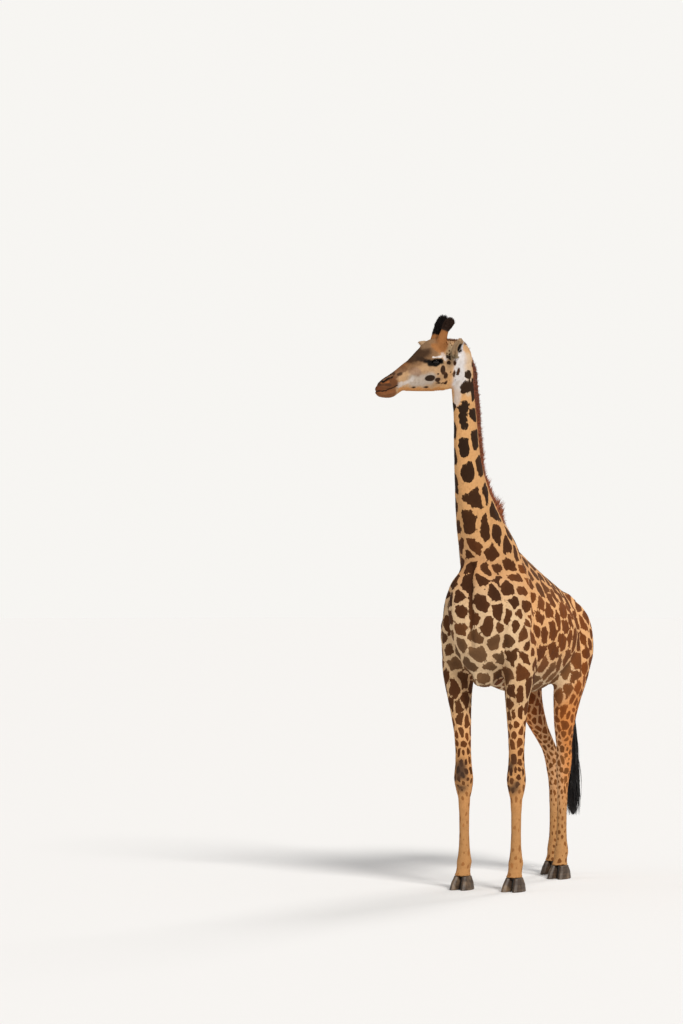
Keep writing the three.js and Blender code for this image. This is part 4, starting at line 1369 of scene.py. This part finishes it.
def make_hooves():
    """Cloven hooves with rounded rims and rings of growth."""
    horn = Finish("hoof_horn", Roughness=0.5, Specular_IOR_Level=0.4)
    where = horn.add("ShaderNodeTexCoord", output="Object")
    rings = horn.noise(horn.stretched(where, (2.0, 2.0, 60.0)), 2.2, 2.0)
    streaks = horn.noise(horn.stretched(where, (60.0, 60.0, 6.0)), 2.0, 2.0)
    dust = horn.noise(where, 14.0, 3.0)
    colour = horn.mix(horn.step(rings, 0.35, 0.7), linear(58, 46, 38), linear(84, 68, 54))
    colour = horn.mix(horn.step(streaks, 0.4, 0.75, 0.0, 0.5), colour, linear(40, 31, 26))
    colour = horn.mix(horn.step(dust, 0.45, 0.75, 0.0, 0.45), colour, linear(150, 124, 96))
    horn.feed("Base Color", colour)
    horn.bump(rings * 0.8 + streaks * 0.2, 0.5, 0.003)
    for name in [name for name in nodes if name.startswith("hoof_")]:
        hoof = copy_of([name], name + "_horn")
        apply_modifier(hoof, "REMESH", mode="VOXEL", voxel_size=HOOF_VOXEL)
        hoof = keep_largest(hoof)
        points = points_of(hoof)
        sole = points[:, 2] < HOOF_VOXEL + 0.0005
        relax(hoof, 14, back=-0.3)
        settled = points_of(hoof)
        settled[sole, 2] = points[sole, 2]
        settled[:, 2] = np.maximum(settled[:, 2], 0)
        # Towards the top the horn leans in to the leg, and ends in a soft crown.
        leg = "foreleg_lower_" if "front" in name else "hindleg_lower_"
        foot = points_of(nodes[leg + ("left" if "left" in name else "right")])
        foot = foot[foot[:, 2] < foot[:, 2].min() + 0.004].mean(0)
        top = settled[:, 2].max()
        lean = 0.12 * smooth_step(0.45 * top, top, settled[:, 2])
        settled[:, :2] += (foot[:2] - settled[:, :2]) * lean[:, None]
        move_points(hoof, settled)
        shade_smooth(hoof)
        own(hoof, horn.material, "hoof", name)


def make_eyes():
    """Large dark eyes with a domed cornea."""
    for side, sign in (("left", 1), ("right", -1)):
        centre, beside = from_head([(sign * EYE[0], *EYE[1:]), (sign * (EYE[0] + 100), *EYE[1:])])
        out = unit(beside - centre)
        deselect()
        bpy.ops.mesh.primitive_uv_sphere_add(segments=32, ring_count=20, radius=EYEBALL, location=centre)
        eye = bpy.context.object
        eye.name = eye.data.name = f"eyeball_{side}"
        bpy.ops.object.transform_apply(location=True, rotation=True, scale=True)
        points = points_of(eye)
        ahead = ((points - centre) * out).sum(1) / EYEBALL
        points += out * (0.0018 * smooth_step(0.72, 0.95, ahead))[:, None]
        move_points(eye, points)
        apply_modifier(eye, "SUBSURF", levels=1, render_levels=1)
        shade_smooth(eye)
        finish = Finish(f"wet_eye_{side}", Roughness=0.12, Specular_IOR_Level=0.2, Coat_Weight=0.12,
                        Coat_Roughness=0.02)
        offset = finish.add("ShaderNodeVectorMath", {"operation": "SUBTRACT"},
                            {0: finish.add("ShaderNodeTexCoord", output="Object"), 1: centre})
        ahead = finish.add("ShaderNodeVectorMath", {"operation": "DOT_PRODUCT"}, {0: offset, 1: out}, "Value")
        height = finish.add("ShaderNodeSeparateXYZ", {}, {"Vector": offset}, output="Z")
        iris = finish.step(ahead, 0.0205, 0.0225)
        pupil = finish.step(height * height * 5.0 + (EYEBALL - ahead) * 0.004, 0.00016, 0.00005)
        colour = finish.mix(iris, linear(12, 9, 8), linear(22, 14, 10))
        colour = finish.mix(pupil * iris, colour, linear(8, 8, 11))
        finish.feed("Base Color", colour)
        own(eye, finish.material, "eye", f"eye_{side}")


grow_hair_of_head(grow_coat())
grow_mane()
grow_tail()
make_hooves()
make_eyes()

# ---------------------------------------------------------------- camera, light and floor

CAMERA_TURN = math.radians(22)
CAMERA_REACH = 35.0
CAMERA_HEIGHT = 3.146
CAMERA_PITCH = math.radians(0.633)
CAMERA_ASIDE = math.radians(1.774)
CAMERA_LENS = 168.6


def add_camera():
    data = bpy.data.cameras.new("camera")
    data.lens = CAMERA_LENS
    data.sensor_width = 36.0
    camera = bpy.data.objects.new("camera", data)
    bpy.context.scene.collection.objects.link(camera)
    x = FORELEGS[0] + CAMERA_REACH * math.sin(CAMERA_TURN)
    y = FORELEGS[1] - CAMERA_REACH * math.cos(CAMERA_TURN)
    camera.location = (x, y, CAMERA_HEIGHT)
    camera.rotation_euler = (math.pi / 2 - CAMERA_PITCH, 0, CAMERA_TURN + CAMERA_ASIDE)
    data.clip_end = 200
    bpy.context.scene.camera = camera


def add_light(name, side, power, colour):
    """A broad, far light that shines from one side towards the origin."""
    data = bpy.data.lights.new(name, "SUN")
    data.angle = 0.3
    data.energy = power
    data.color = colour
    light = bpy.data.objects.new(name, data)
    light.location = side
    light.rotation_euler = (-Vector(side)).to_track_quat("-Z", "Y").to_euler()
    bpy.context.scene.collection.objects.link(light)


def add_studio():
    world = bpy.data.worlds.new("studio")
    world.use_nodes = True
    tree = world.node_tree
    soft, backdrop = tree.nodes["Background"], tree.nodes.new("ShaderNodeBackground")
    for light, colour, power in ((soft, (1.0, 0.98, 0.95, 1), 0.40), (backdrop, (1.0, 0.985, 0.955, 1), 0.93)):
        light.inputs["Color"].default_value, light.inputs["Strength"].default_value = colour, power
    seen, either = tree.nodes.new("ShaderNodeLightPath"), tree.nodes.new("ShaderNodeMixShader")
    tree.links.new(seen.outputs["Is Camera Ray"], either.inputs[0])
    tree.links.new(soft.outputs[0], either.inputs[1])
    tree.links.new(backdrop.outputs[0], either.inputs[2])
    tree.links.new(either.outputs[0], tree.nodes["World Output"].inputs["Surface"])
    bpy.context.scene.world = world
    add_light("key_light", (7.5, -6.5, 8.5), 2.9, (1.0, 0.96, 0.90))
    add_light("fill_light", (-8.0, -6.0, 3.0), 0.35, (0.9, 0.95, 1.0))
    add_light("back_light", (1.0, 8.5, 7.0), 0.9, (1.0, 0.97, 0.93))
    deselect()
    bpy.ops.mesh.primitive_circle_add(vertices=96, radius=60, fill_type="NGON", location=(0, 0, -0.0005))
    floor = bpy.context.object
    floor.name = "floor"
    material = bpy.data.materials.new("pale_floor")
    material.use_nodes = True
    shader = material.node_tree.nodes["Principled BSDF"]
    shader.inputs["Base Color"].default_value = (0.778, 0.783, 0.796, 1)
    shader.inputs["Roughness"].default_value = 0.85
    floor.data.materials.append(material)
    activate(floor)
    bpy.ops.object.transform_apply(location=True, rotation=True, scale=True)


add_camera()
add_studio()
bpy.context.scene.view_settings.view_transform = "Standard"

own(skin, coat_material, "coat", *FLESH)
